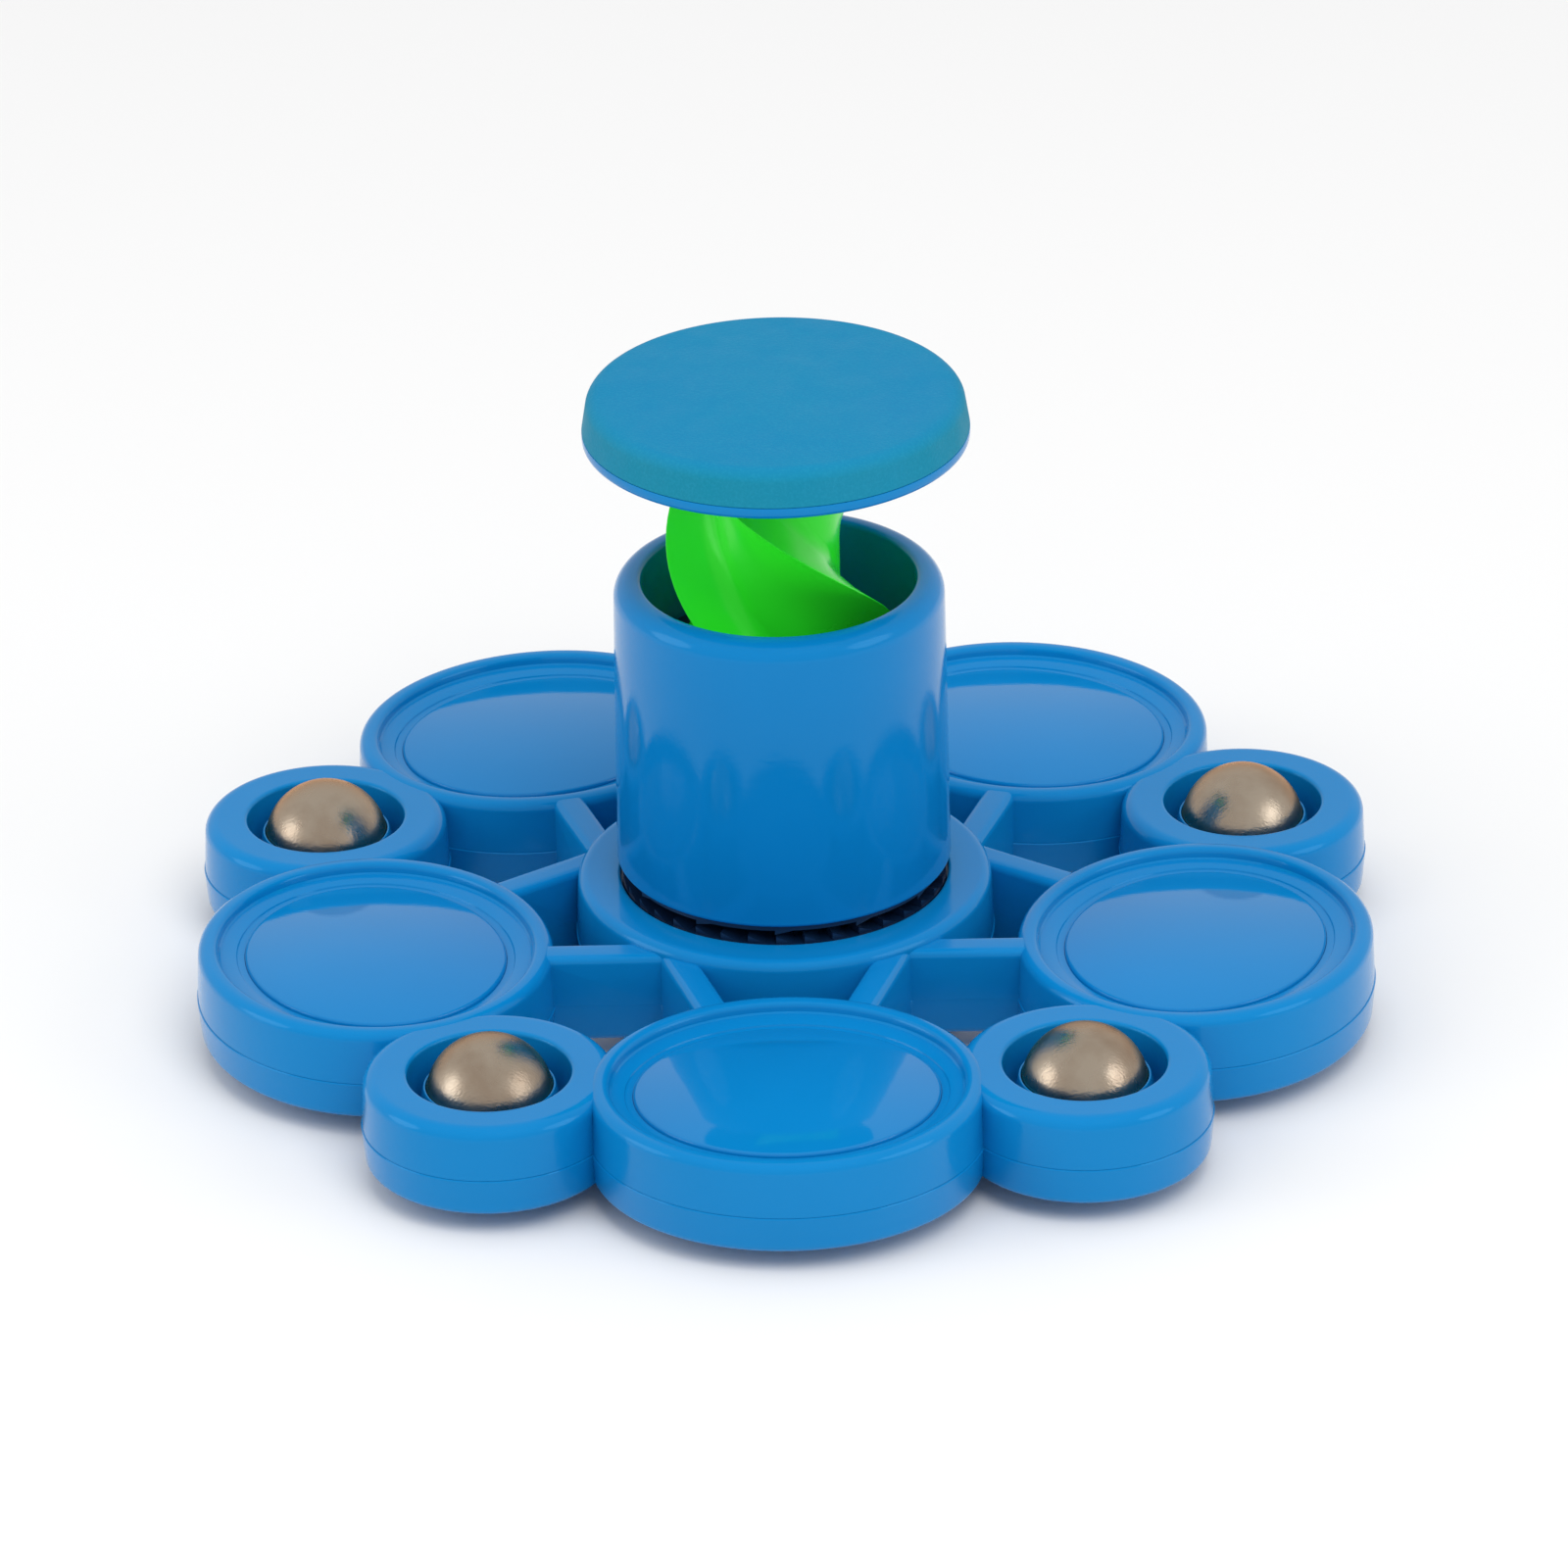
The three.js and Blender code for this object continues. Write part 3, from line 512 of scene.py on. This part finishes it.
def ovalled(shape, squash=DISH_WIDE - DISH_DEEP):
    """Narrows a round shape along the arm by the squash, and keeps a rim's width the same all round."""
    core = DISH_WIDE / 3
    for corner in shape.verts:
        radius = max(math.hypot(corner.co.x, corner.co.y), core)
        corner.co.y *= (radius - squash) / radius
    return shape


def placed(shape, name, pitch, turn):
    """Moves a shape out along +Y by the pitch, turns it into place and makes it an object."""
    bmesh.ops.transform(shape, matrix=turn @ Matrix.Translation((0, pitch, 0)), verts=shape.verts)
    return to_object(shape, name)


print(f"pods sit {POD_PITCH:.2f} mm from the axis")

# %% [markdown]
# ### Upper shell outlines
# The dish rim is a soft roll with a steep inside. Below it a ledge slopes in to the inlay, which a
# narrow round-bottomed channel surrounds. The well is a second, slightly rounder oval than the dish, so
# it is cut afterwards. The pod is a ring with a straight bore, and the hub carries the bearing seat.
# %% Upper outlines
def seam_corner(radius):
    """The wall's lower end: nearly sharp, so that only a hairline shows at the parting line."""
    return [(radius - SEAM_EDGE, seam_top), (radius, seam_top + SEAM_EDGE)]


def dish_upper():
    wall = DISH_WIDE - DRAFT
    inside = DISH_WIDE - RIM_WIDTH
    ledge = dish_top - LEDGE_DROP
    return [
        (0, seam_top), *seam_corner(DISH_WIDE),
        *arc(wall - RIM_OUTER, dish_top - RIM_OUTER, RIM_OUTER, 0, 90),
        *arc(inside + RIM_INNER, dish_top - RIM_INNER, RIM_INNER, 90, 172, 6),
        (inside - 0.05, ledge + 0.15), (inside - 0.2, ledge), (0, ledge),
    ]


def well_cutter(index):
    """What is cut from a dish: a ledge that slopes inwards, and the channel below it."""
    inside = DISH_WIDE - RIM_WIDTH - 0.2
    edge = INLAY_WIDE + CHANNEL
    ledge = dish_top - LEDGE_DROP
    floor = inlay_low - 0.1
    deep = inlay_high - CHANNEL_FLOOR
    squash = INLAY_WIDE - INLAY_DEEP
    outline = [
        (0, floor), (INLAY_WIDE + 0.03, floor), (INLAY_WIDE + 0.03, deep), (edge - 0.25, deep),
        (edge - 0.08, deep + 0.05), (edge, ledge - LEDGE_FALL),
        (inside, ledge + 0.002), (inside, dish_top + 1), (0, dish_top + 1),
    ]
    shape = ovalled(turned(outline, 128), squash)
    return placed(shape, "well_cutter", DISH_PITCH, lobe_turn(index))


def pod_upper():
    wall = POD_RADIUS - DRAFT
    lip = 0.35
    return [
        (POD_BORE, seam_top), *seam_corner(POD_RADIUS),
        *arc(wall - POD_EDGE, pod_top - POD_EDGE, POD_EDGE, 0, 90, 8),
        (wall - POD_EDGE - 0.15, pod_top), (POD_BORE + lip + 0.15, pod_top),
        *arc(POD_BORE + lip, pod_top - lip, lip, 90, 180, 5),
    ]


def hub_upper():
    wall = HUB_RADIUS - DRAFT
    lip = 0.3
    ledge = low("ratchet_ring") - 0.1
    return [
        (BEARING_SEAT, seam_top), *seam_corner(HUB_RADIUS),
        *arc(wall - HUB_EDGE, hub_top - HUB_EDGE, HUB_EDGE, 0, 90),
        (wall - HUB_EDGE - 0.15, hub_top), (HUB_RECESS + lip + 0.15, hub_top),
        *arc(HUB_RECESS + lip, hub_top - lip, lip, 90, 180, 5),
        (HUB_RECESS, ledge), (BEARING_LIP, ledge),
        (BEARING_LIP, bearing_high + 0.1), (BEARING_SEAT, bearing_high + 0.1),
    ]


print("upper outlines:", len(dish_upper()), len(pod_upper()), len(hub_upper()), "points")

# %% [markdown]
# ### Spokes
# A spoke is a short bar with rounded top edges. We draw its cross-section as one face, round two of its
# corners with a vertex bevel, and extrude it from the hub to the dish. Its twin is a mirror image.
# %% Spokes
SPOKE_WIDTH = 3.0
SPOKE_AT_HUB = 9.0
SPOKE_AT_DISH = 6.5
SPOKE_ROOT = 1.92
SPOKE_ROUND = 0.75


def spoke(name, turn, hand, bottom, top, rounded):
    """rounded is 1 for round edges on top and -1 for round edges below."""
    hub_point = Vector((SPOKE_AT_HUB, math.sqrt(HUB_RADIUS ** 2 - SPOKE_AT_HUB ** 2), 0))
    dish_point = Vector((SPOKE_AT_DISH, DISH_PITCH - DISH_DEEP + SPOKE_ROOT, 0))
    run = dish_point - hub_point
    start = hub_point - run.normalized() * SPOKE_ROOT
    side = Vector((-run.y, run.x, 0)).normalized() * SPOKE_WIDTH / 2
    shape = bmesh.new()
    ends = [start + side, start - side]
    corners = [
        shape.verts.new((ends[0].x, ends[0].y, bottom)),
        shape.verts.new((ends[1].x, ends[1].y, bottom)),
        shape.verts.new((ends[1].x, ends[1].y, top)),
        shape.verts.new((ends[0].x, ends[0].y, top)),
    ]
    shape.faces.new(corners)
    soft = corners[2:] if rounded > 0 else corners[:2]
    bmesh.ops.bevel(
        shape, geom=soft, offset=SPOKE_ROUND, offset_type="OFFSET", affect="VERTICES",
        segments=5, profile=0.5, material=-1,
    )
    grown = bmesh.ops.extrude_face_region(shape, geom=shape.faces[:])
    moved = [part for part in grown["geom"] if isinstance(part, bmesh.types.BMVert)]
    bmesh.ops.translate(shape, vec=dish_point - start, verts=moved)
    if hand < 0:
        bmesh.ops.scale(shape, vec=(-1, 1, 1), verts=shape.verts)
    bmesh.ops.transform(shape, matrix=turn, verts=shape.verts)
    bmesh.ops.recalc_face_normals(shape, faces=shape.faces)
    return to_object(shape, name)


print(f"a spoke is {SPOKE_WIDTH} mm wide and {spoke_top - seam_top:.2f} mm high in the upper shell")

# %% [markdown]
# ### Join the lobes
# A pod must not fill its neighbour's dish, so before the join every pod and spoke is cut back to the
# middle of the dish's rim. The rim then hides the cut.
# %% Build a shell of the wheel
def rim_cutter(index):
    """A plug that fills a dish up to the crest of its rim."""
    crest = DISH_WIDE - DRAFT - RIM_OUTER
    bottom, top = wheel_floor - 2, hub_top + 2
    shape = ovalled(turned([(0, bottom), (crest, bottom), (crest, top), (0, top)], 96))
    return placed(shape, "rim_cutter", DISH_PITCH, lobe_turn(index))


def wheel_shell(name, hub, dish, pod, bottom, top, rounded):
    shell = to_object(turned(hub, 128, ring=True), name)
    for index in range(LOBES):
        turn = lobe_turn(index)
        plate = placed(ovalled(turned(dish, 128)), "dish", DISH_PITCH, turn)
        cup = placed(turned(pod, 96, ring=True), "pod", POD_PITCH, lobe_turn(index, 0.5))
        combined(cup, [rim_cutter(index), rim_cutter(index + 1)], "DIFFERENCE")
        bars = [spoke("spoke", turn, hand, bottom, top, rounded) for hand in (1, -1)]
        for bar in bars:
            combined(bar, [rim_cutter(index)], "DIFFERENCE")
        combined(shell, [plate, cup, *bars])
    return shell


wheel_top = wheel_shell("wheel_upper_shell", hub_upper(), dish_upper(), pod_upper(), seam_top, spoke_top, 1)
combined(wheel_top, [well_cutter(index) for index in range(LOBES)], "DIFFERENCE")
finished(wheel_top, "wheel", blue_gloss, "blue_gloss", "wheel_upper")

# %% [markdown]
# ### Lower shell
# The lower moulding has rounded bottom edges, and it stands out a hair at the parting line, where it
# catches the light. In each pod it carries the springy cup that holds a ball: the cup's lip thins out
# and closes in just above the ball's middle, and a hole in its floor saves material.
# %% Lower shell
BALL_RADIUS = 5.556
CUP_BORE = BALL_RADIUS + 0.19
CUP_WALL = 0.42
CUP_LIP = 1.1
FLOOR_HOLE = 3.44
FLOOR_ROUND = 0.7
ball_middle = frame["joints"][-1]["pos_m"][2] / MM


def outer_lower(radius):
    """The lower wall of any lobe, from its flat underside up to the seam."""
    wall = radius - DRAFT
    return [
        *arc(wall - FLOOR_ROUND, wheel_floor + FLOOR_ROUND, FLOOR_ROUND, -90, 0),
        (radius + SEAM_STEP, seam_bottom - SEAM_STEP), (radius + SEAM_EDGE, seam_bottom),
    ]


def pod_lower():
    lip_level = ball_middle + CUP_LIP
    lip = math.sqrt(BALL_RADIUS ** 2 - CUP_LIP ** 2) + 0.075
    cup_outside = CUP_BORE + CUP_WALL
    return [
        (FLOOR_HOLE, wheel_floor), *outer_lower(POD_RADIUS),
        (cup_outside, seam_bottom), (cup_outside, lip_level - 1.6),
        (lip + 0.2, lip_level - 0.06), (lip + 0.14, lip_level),
        (lip + 0.05, lip_level), (lip, lip_level - 0.05), (CUP_BORE, ball_middle),
        (CUP_BORE, wheel_floor + SHELL_FLOOR), (FLOOR_HOLE, wheel_floor + SHELL_FLOOR),
    ]


dish_low = [(0, wheel_floor), *outer_lower(DISH_WIDE), (0, seam_bottom)]
hub_low = [
    (BEARING_LIP, wheel_floor), *outer_lower(HUB_RADIUS), (BEARING_SEAT, seam_bottom),
    (BEARING_SEAT, bearing_low - 0.1), (BEARING_LIP, bearing_low - 0.1),
]
wheel_base = wheel_shell("wheel_lower_shell", hub_low, dish_low, pod_lower(), wheel_floor, seam_bottom, -1)
finished(wheel_base, "wheel", blue_gloss, "blue_gloss", "wheel_lower")

# %% [markdown]
# ### Inlays
# Each dish has a polished oval plate in its well. It is turned and narrowed as the dish is. Its UV map
# holds the distance from the plate's own middle, which the crowned finish reads.
# %% Inlays
INLAY_ROUND = 0.3
inlay_outline = [
    (0, inlay_low), (INLAY_WIDE - 0.1, inlay_low), (INLAY_WIDE, inlay_low + 0.1),
    *arc(INLAY_WIDE - INLAY_ROUND, inlay_high - INLAY_ROUND, INLAY_ROUND, 0, 90, 6),
    (INLAY_WIDE - INLAY_ROUND - 0.1, inlay_high), (0, inlay_high),
]
for index in range(LOBES):
    oval = ovalled(turned(inlay_outline, 128), INLAY_WIDE - INLAY_DEEP)
    plate_map = oval.loops.layers.uv.new("plate")
    for face in oval.faces:
        for corner in face.loops:
            corner[plate_map].uv = corner.vert.co.xy * MM
    plate = placed(oval, f"inlay_plate_{index + 1}", DISH_PITCH, lobe_turn(index))
    finished(plate, "wheel", inlay_gloss, "inlay_gloss", f"disc_inlay_{index + 1}")

# %% [markdown]
# ### Loose balls
# The balls are true spheres. An icosphere has even facets and no poles, so its reflections stay clean
# wherever it has rolled. Each ball rides on a body of its own, because it turns by itself.
# %% Loose balls
for index in range(LOBES):
    sphere = bmesh.new()
    bmesh.ops.create_icosphere(sphere, subdivisions=5, radius=BALL_RADIUS)
    bmesh.ops.translate(sphere, vec=(0, 0, ball_middle), verts=sphere.verts)
    ball = placed(sphere, f"loose_ball_{index + 1}", POD_PITCH, lobe_turn(index, 0.5))
    finished(ball, f"ball_{index + 1}", ball_steel, "ball_steel", f"steel_ball_{index + 1}")

# %% [markdown]
# ## The tower
# The tower is a glossy sleeve, a little wider at its foot. Its wall is turned as one closed outline:
# outside wall, round rim, bore, the shoulder that the nut sits on, and the floor with the bush's boss.
# %% Tower sleeve
TOWER_FOOT = 14.86
TOWER_HEAD = 14.58
TOWER_BORE = 12.08
NUT_SHOULDER = 0.9
BUSH_HEIGHT = 2.3
tower_low = low("tower_bush") + BUSH_HEIGHT
tower_high = high("tower_sleeve")
boss_low = low("tower_sleeve")
nut_low = low("drive_nut") - 0.1
OUTER_RIM = 1.8
INNER_RIM = 0.5
FOOT_EDGE = 0.45
BUSH_HOLE = 6.15
BOSS_RADIUS = 9.0
TOWER_FLOOR = 1.5
CLIP_SEAT = BUSH_HOLE + 1.3
tower_outline = [
    (BUSH_HOLE, boss_low), (BOSS_RADIUS, boss_low), (BOSS_RADIUS, tower_low),
    *arc(TOWER_FOOT - FOOT_EDGE, tower_low + FOOT_EDGE, FOOT_EDGE, -90, 0, 5),
    *arc(TOWER_HEAD - OUTER_RIM, tower_high - OUTER_RIM, OUTER_RIM, 0, 90, 9),
    *arc(TOWER_BORE + INNER_RIM, tower_high - INNER_RIM, INNER_RIM, 90, 180, 8),
    (TOWER_BORE, nut_low), (TOWER_BORE - NUT_SHOULDER, nut_low),
    (TOWER_BORE - NUT_SHOULDER, tower_low + TOWER_FLOOR), (CLIP_SEAT, tower_low + TOWER_FLOOR),
    (CLIP_SEAT, tower_low), (BUSH_HOLE, tower_low),
]
tower = to_object(turned(tower_outline, 160, ring=True), "tower_shell")
finished(tower, "tower", blue_gloss, "blue_gloss", "tower_sleeve")

# %% [markdown]
# ## Twisted shaft and nut
# The shaft has three fins. Each has a sharp ridge, a steep face, and a flat back that runs out onto the
# round core. We draw one face across the shaft, round its ridges and roots with a vertex bevel, and let
# bmesh's spin climb while it turns, which is just what a twist is.
# %% Fin section
FINS = 3
FIN_TIP = 10.0
FIN_FACE = math.radians(18)
CORE = 5.4
LEAD = 46.0
NUT_GAP = 0.35
TWIST_START = math.radians(343)
RIDGE_ROUND = 0.3
ROOT_ROUND = 1.3
button_low = low("button_body")


def polar(radius, angle):
    return Vector((radius * math.cos(angle), radius * math.sin(angle)))


def fin_outline(margin):
    """Corners of the section, with every side moved out by the margin, and what to round them by."""
    back = math.acos(CORE / FIN_TIP)
    corners, rounds = [], []
    for fin in range(FINS):
        turn = TURN * fin / FINS
        foot, ridge = polar(CORE, turn - back), polar(FIN_TIP, turn)
        root = polar(CORE, turn + FIN_FACE)
        corners += [foot.lerp(ridge, step / 6) for step in range(7)]
        corners += [ridge.lerp(root, 1 / 3), ridge.lerp(root, 2 / 3), root]
        corners += [polar(CORE, turn + FIN_FACE + step * math.radians(11)) for step in (1, 2, 3)]
        rounds += [0] * 6 + [RIDGE_ROUND, 0, 0, ROOT_ROUND, 0, 0, 0]
    moved = []
    for index, corner in enumerate(corners):
        before = (corner - corners[index - 1]).normalized()
        after = (corners[(index + 1) % len(corners)] - corner).normalized()
        out = Vector((before.y + after.y, -before.x - after.x)).normalized()
        moved.append(corner + out * margin / (out.x * before.y - out.y * before.x))
    return moved, rounds


def fin_face(shape, margin, height):
    corners, rounds = fin_outline(margin)
    turn = Matrix.Rotation(TWIST_START - TURN * (height - button_low) / LEAD, 2)
    points = [shape.verts.new((*(turn @ corner), height)) for corner in corners]
    shape.faces.new(points)
    for size in (RIDGE_ROUND, ROOT_ROUND):
        bmesh.ops.bevel(
            shape, geom=[point for point, wanted in zip(points, rounds) if wanted == size], offset=size,
            offset_type="OFFSET", affect="VERTICES", segments=5, profile=0.5, material=-1,
        )


def twisted(name, margin, bottom, top):
    shape = bmesh.new()
    fin_face(shape, margin, bottom)
    rise = top - bottom
    steps = max(4, round(rise / 0.6))
    whole = shape.verts[:] + shape.edges[:] + shape.faces[:]
    bmesh.ops.spin(
        shape, geom=whole, cent=(0, 0, 0), axis=(0, 0, 1), dvec=(0, 0, rise / steps),
        angle=-TURN * rise / LEAD, steps=steps, use_merge=False, use_duplicate=False,
    )
    bmesh.ops.recalc_face_normals(shape, faces=shape.faces)
    open_edges = sum(1 for edge in shape.edges if not edge.is_manifold)
    print(f"{name}: {len(shape.faces)} faces, {open_edges} open edges")
    return to_object(shape, name)


def hex_rod(name, flats, bottom, top):
    """Six-sided bar along the axis."""
    shape = bmesh.new()
    radius = flats / math.sqrt(3)
    bmesh.ops.create_cone(
        shape, cap_ends=True, segments=6, radius1=radius, radius2=radius, depth=top - bottom,
        matrix=Matrix.Translation((0, 0, (top + bottom) / 2)) @ Matrix.Rotation(TURN / 4, 4, "Z"),
    )
    return to_object(shape, name)


HEX_BORE = 7.3
shaft_low = low("twist_shaft")
shaft_high = high("twist_shaft")
shaft = twisted("twisted_shaft", 0, shaft_low, shaft_high)
combined(shaft, [hex_rod("bore", HEX_BORE, shaft_low - 1, shaft_high + 1)], "DIFFERENCE")
finished(shaft, "button", green_gloss, "green_gloss", "twist_shaft")

# %% [markdown]
# ### Nut
# The nut in the tower has the same twisted hole as the shaft has fins, a little wider all round. So we
# twist the same section with a margin and cut it from a plain disc.
# %% Nut
nut_bottom = low("drive_nut")
nut_top = high("drive_nut")
nut_radius = TOWER_BORE - 0.1
nut_outline = [
    (0, nut_bottom), (nut_radius, nut_bottom),
    *arc(nut_radius - 0.4, nut_top - 0.4, 0.4, 0, 90, 4), (0, nut_top),
]
nut = to_object(turned(nut_outline, 128), "twist_nut")
combined(nut, [twisted("nut_slot", NUT_GAP, nut_bottom - 1, nut_top + 1)], "DIFFERENCE")
finished(nut, "tower", dark_nylon, "dark_nylon", "drive_nut")

# %% [markdown]
# ## Ratchet teeth
# A dark ring of saw teeth lies in the hub's recess, and another hangs under the tower. They show as a
# toothed line in the slot between the two. A tooth is one small wedge, repeated round the ring.
# %% Ratchet rings
def saw_ring(name, inner, outer, face, body, teeth, height, up, share):
    """A flat ring with wedge teeth. up is 1 for teeth on top and -1 for teeth below."""
    back = face - up * body
    bottom, top = min(face, back), max(face, back)
    shape = turned([(inner, bottom), (outer, bottom), (outer, top), (inner, top)], 144, ring=True)
    width = TURN / teeth * inner * share
    for tooth in range(teeth):
        base = face - up * body / 2
        spots = [(-width / 2, base), (width / 2, base), (width / 2, face + up * height), (-width / 2, face)]
        near = [shape.verts.new((x, inner + 0.1, z)) for x, z in spots]
        wedge = shape.faces.new(near)
        grown = bmesh.ops.extrude_face_region(shape, geom=[wedge])
        far = [part for part in grown["geom"] if isinstance(part, bmesh.types.BMVert)]
        bmesh.ops.translate(shape, vec=(0, outer - inner - 0.2, 0), verts=far)
        spot = Matrix.Rotation(TURN * tooth / teeth, 4, "Z")
        bmesh.ops.transform(shape, matrix=spot, verts=near + far)
    bmesh.ops.recalc_face_normals(shape, faces=shape.faces)
    return to_object(shape, name)


RATCHET_WIDTH = 3.0
RATCHET_BODY = 0.6
DRIVE_BODY = 0.45
ring_outer = HUB_RECESS - 0.1
ring_inner = ring_outer - RATCHET_WIDTH
wheel_teeth = saw_ring(
    "wheel_teeth", ring_inner, ring_outer, low("ratchet_ring") + RATCHET_BODY, RATCHET_BODY,
    teeth=36, height=0.7, up=1, share=0.8,
)
finished(wheel_teeth, "wheel", dark_nylon, "dark_nylon", "ratchet_ring")
tower_teeth = saw_ring(
    "tower_teeth", ring_inner, ring_outer - 0.3, high("drive_ring") - DRIVE_BODY, DRIVE_BODY,
    teeth=12, height=0.45, up=-1, share=0.3,
)
finished(tower_teeth, "tower", dark_nylon, "dark_nylon", "drive_ring")

# %% [markdown]
# ## The button
# A glossy blue plate carries the soft-touch top. Only a thin bright band of the plate shows below it.
# The top is a shallow dome with a generous round edge, comfortable for a thumb.
# %% Button
BUTTON_RADIUS = 16.95
COVER_WALL = 1.5
COVER_ROUND = 1.35
COVER_LEAN = 0.35
CROWN = 0.5
button_high = high("button_cover")
cover_low = low("button_cover")
plug_high = high("button_body")
pin_hole = 2.2
plug = BUTTON_RADIUS - COVER_WALL - 0.1
plate_outline = [
    (pin_hole, button_low), (BUTTON_RADIUS - 0.6, button_low),
    *arc(BUTTON_RADIUS - 0.5, button_low + 0.5, 0.5, -75, 0, 5),
    *arc(BUTTON_RADIUS - 0.06, cover_low - 0.08, 0.06, 0, 90, 3),
    (plug, cover_low - 0.02), (plug, plug_high), (pin_hole, plug_high),
]
plate = to_object(turned(plate_outline, 160, ring=True), "button_plate")
finished(plate, "button", blue_gloss, "blue_gloss", "button_body")

shoulder = button_high - CROWN
top_radius = BUTTON_RADIUS - COVER_LEAN - COVER_ROUND
dome = []
for step in range(1, 13):
    radius = top_radius * (1 - step / 12)
    dome.append((radius, button_high - CROWN * (radius / top_radius) ** 2))
cover_outline = [
    (0, plug_high + 0.1), (BUTTON_RADIUS - COVER_WALL, plug_high + 0.1),
    (BUTTON_RADIUS - COVER_WALL, cover_low),
    (BUTTON_RADIUS - 0.08, cover_low), (BUTTON_RADIUS - 0.02, cover_low + 0.06),
    *arc(top_radius, shoulder - COVER_ROUND, COVER_ROUND, 6, 88, 12),
    *dome,
]
cover = to_object(turned(cover_outline, 160), "button_top")
finished(cover, "button", soft_touch_teal, "soft_touch_teal", "button_cover")

# %% [markdown]
# ## Foot
# The toy stands on a rubber pad under a plain disc, and a screw holds the disc to the post. The pad and
# the disc are turned again here with soft edges. The screw keeps the frame's shape.
# %% Foot
FOOT_RADIUS = 13.0
pad_high = high("foot_pad")
pad_outline = [
    (0, 0), *arc(FOOT_RADIUS - 0.3, 0.3, 0.3, -90, 0, 4),
    *arc(FOOT_RADIUS - 0.2, pad_high - 0.2, 0.2, 0, 90, 3), (0, pad_high),
]
pad = to_object(turned(pad_outline, 96), "rubber_pad")
finished(pad, "base", foot_rubber, "foot_rubber", "foot_pad")

PLATE_THICKNESS = 0.8
plate_low = low("foot_plate")
plate_high = plate_low + PLATE_THICKNESS
boss_high = high("foot_plate")
FOOT_BOSS = 5.2
SCREW_HOLE = 1.6
SCREW_HEAD_HOLE = 3.0
foot_outline = [
    (SCREW_HEAD_HOLE, plate_low), *arc(FOOT_RADIUS - 0.2, plate_low + 0.2, 0.2, -90, 0, 3),
    *arc(FOOT_RADIUS - 0.25, plate_high - 0.25, 0.25, 0, 90, 4),
    (FOOT_BOSS + 0.2, plate_high), (FOOT_BOSS, plate_high + 0.2), (FOOT_BOSS, boss_high),
    (SCREW_HOLE, boss_high), (SCREW_HOLE, plate_high),
]
foot = to_object(turned(foot_outline, 96, ring=True), "foot_disc")
finished(foot, "base", blue_gloss, "blue_gloss", "foot_plate")

# %% [markdown]
# ### Return spring
# The spring lies in the post and pushes the button back up. A small round face is spun round the axis
# while it climbs. On the toy the coil squeezes towards its lower end; here it is built at rest.
# %% Spring
SPRING_RADIUS = 1.85
WIRE = 0.28
COILS = 12
STEPS_PER_COIL = 16
spring_low = low("return_spring")
spring_high = high("return_spring")
coil = bmesh.new()
bmesh.ops.create_circle(
    coil, cap_ends=True, segments=8, radius=WIRE,
    matrix=Matrix.Translation((SPRING_RADIUS, 0, spring_low + WIRE)) @ Matrix.Rotation(TURN / 4, 4, "X"),
)
climb = spring_high - spring_low - 2 * WIRE
spring_steps = COILS * STEPS_PER_COIL
bmesh.ops.spin(
    coil, geom=coil.verts[:] + coil.edges[:] + coil.faces[:], cent=(0, 0, 0), axis=(0, 0, 1),
    dvec=(0, 0, climb / spring_steps), angle=TURN * COILS, steps=spring_steps,
    use_merge=False, use_duplicate=False,
)
bmesh.ops.recalc_face_normals(coil, faces=coil.faces)
spring = to_object(coil, "coil_spring")
finished(spring, "base", bearing_steel, "bearing_steel", "return_spring")
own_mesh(spring)

# %% [markdown]
# ## Finishes on the frame's own pieces
# What is left are the bearing, its clips, the post, the bush, the pin and the screw. They keep their
# shape from the frame and only take the right finish.
# %% Frame pieces
KEPT = {
    "bearing_steel": ["bearing_inner_race", "bearing_outer_race"],
    "zinc": ["bearing_cage", "bearing_shield_lower", "bearing_shield_upper", "bearing_clip", "tower_clip",
             "spring_pin", "foot_screw"],
    "white_nylon": ["guide_post"],
    "dark_nylon": ["tower_bush"],
}
KEPT["bearing_steel"] += [name for name in frame["nodes"] if name.startswith("bearing_ball")]
for finish_name, names in KEPT.items():
    for name in names:
        mesh = frame["nodes"][name].data
        mesh.materials.clear()
        mesh.materials.append(bpy.data.materials[finish_name])
print("finishes on", sum(len(names) for names in KEPT.values()), "frame pieces")

# %% [markdown]
# Both boxes, the frame's and the fine model's, are printed in millimetres.
# %% Finish
new_low, new_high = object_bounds()
boxes = {"cad": [list(cad_low), list(cad_high)], "visual": [list(new_low), list(new_high)]}
for name, corners in boxes.items():
    print(name, "box in mm:", [[round(value / MM, 2) for value in corner] for corner in corners])
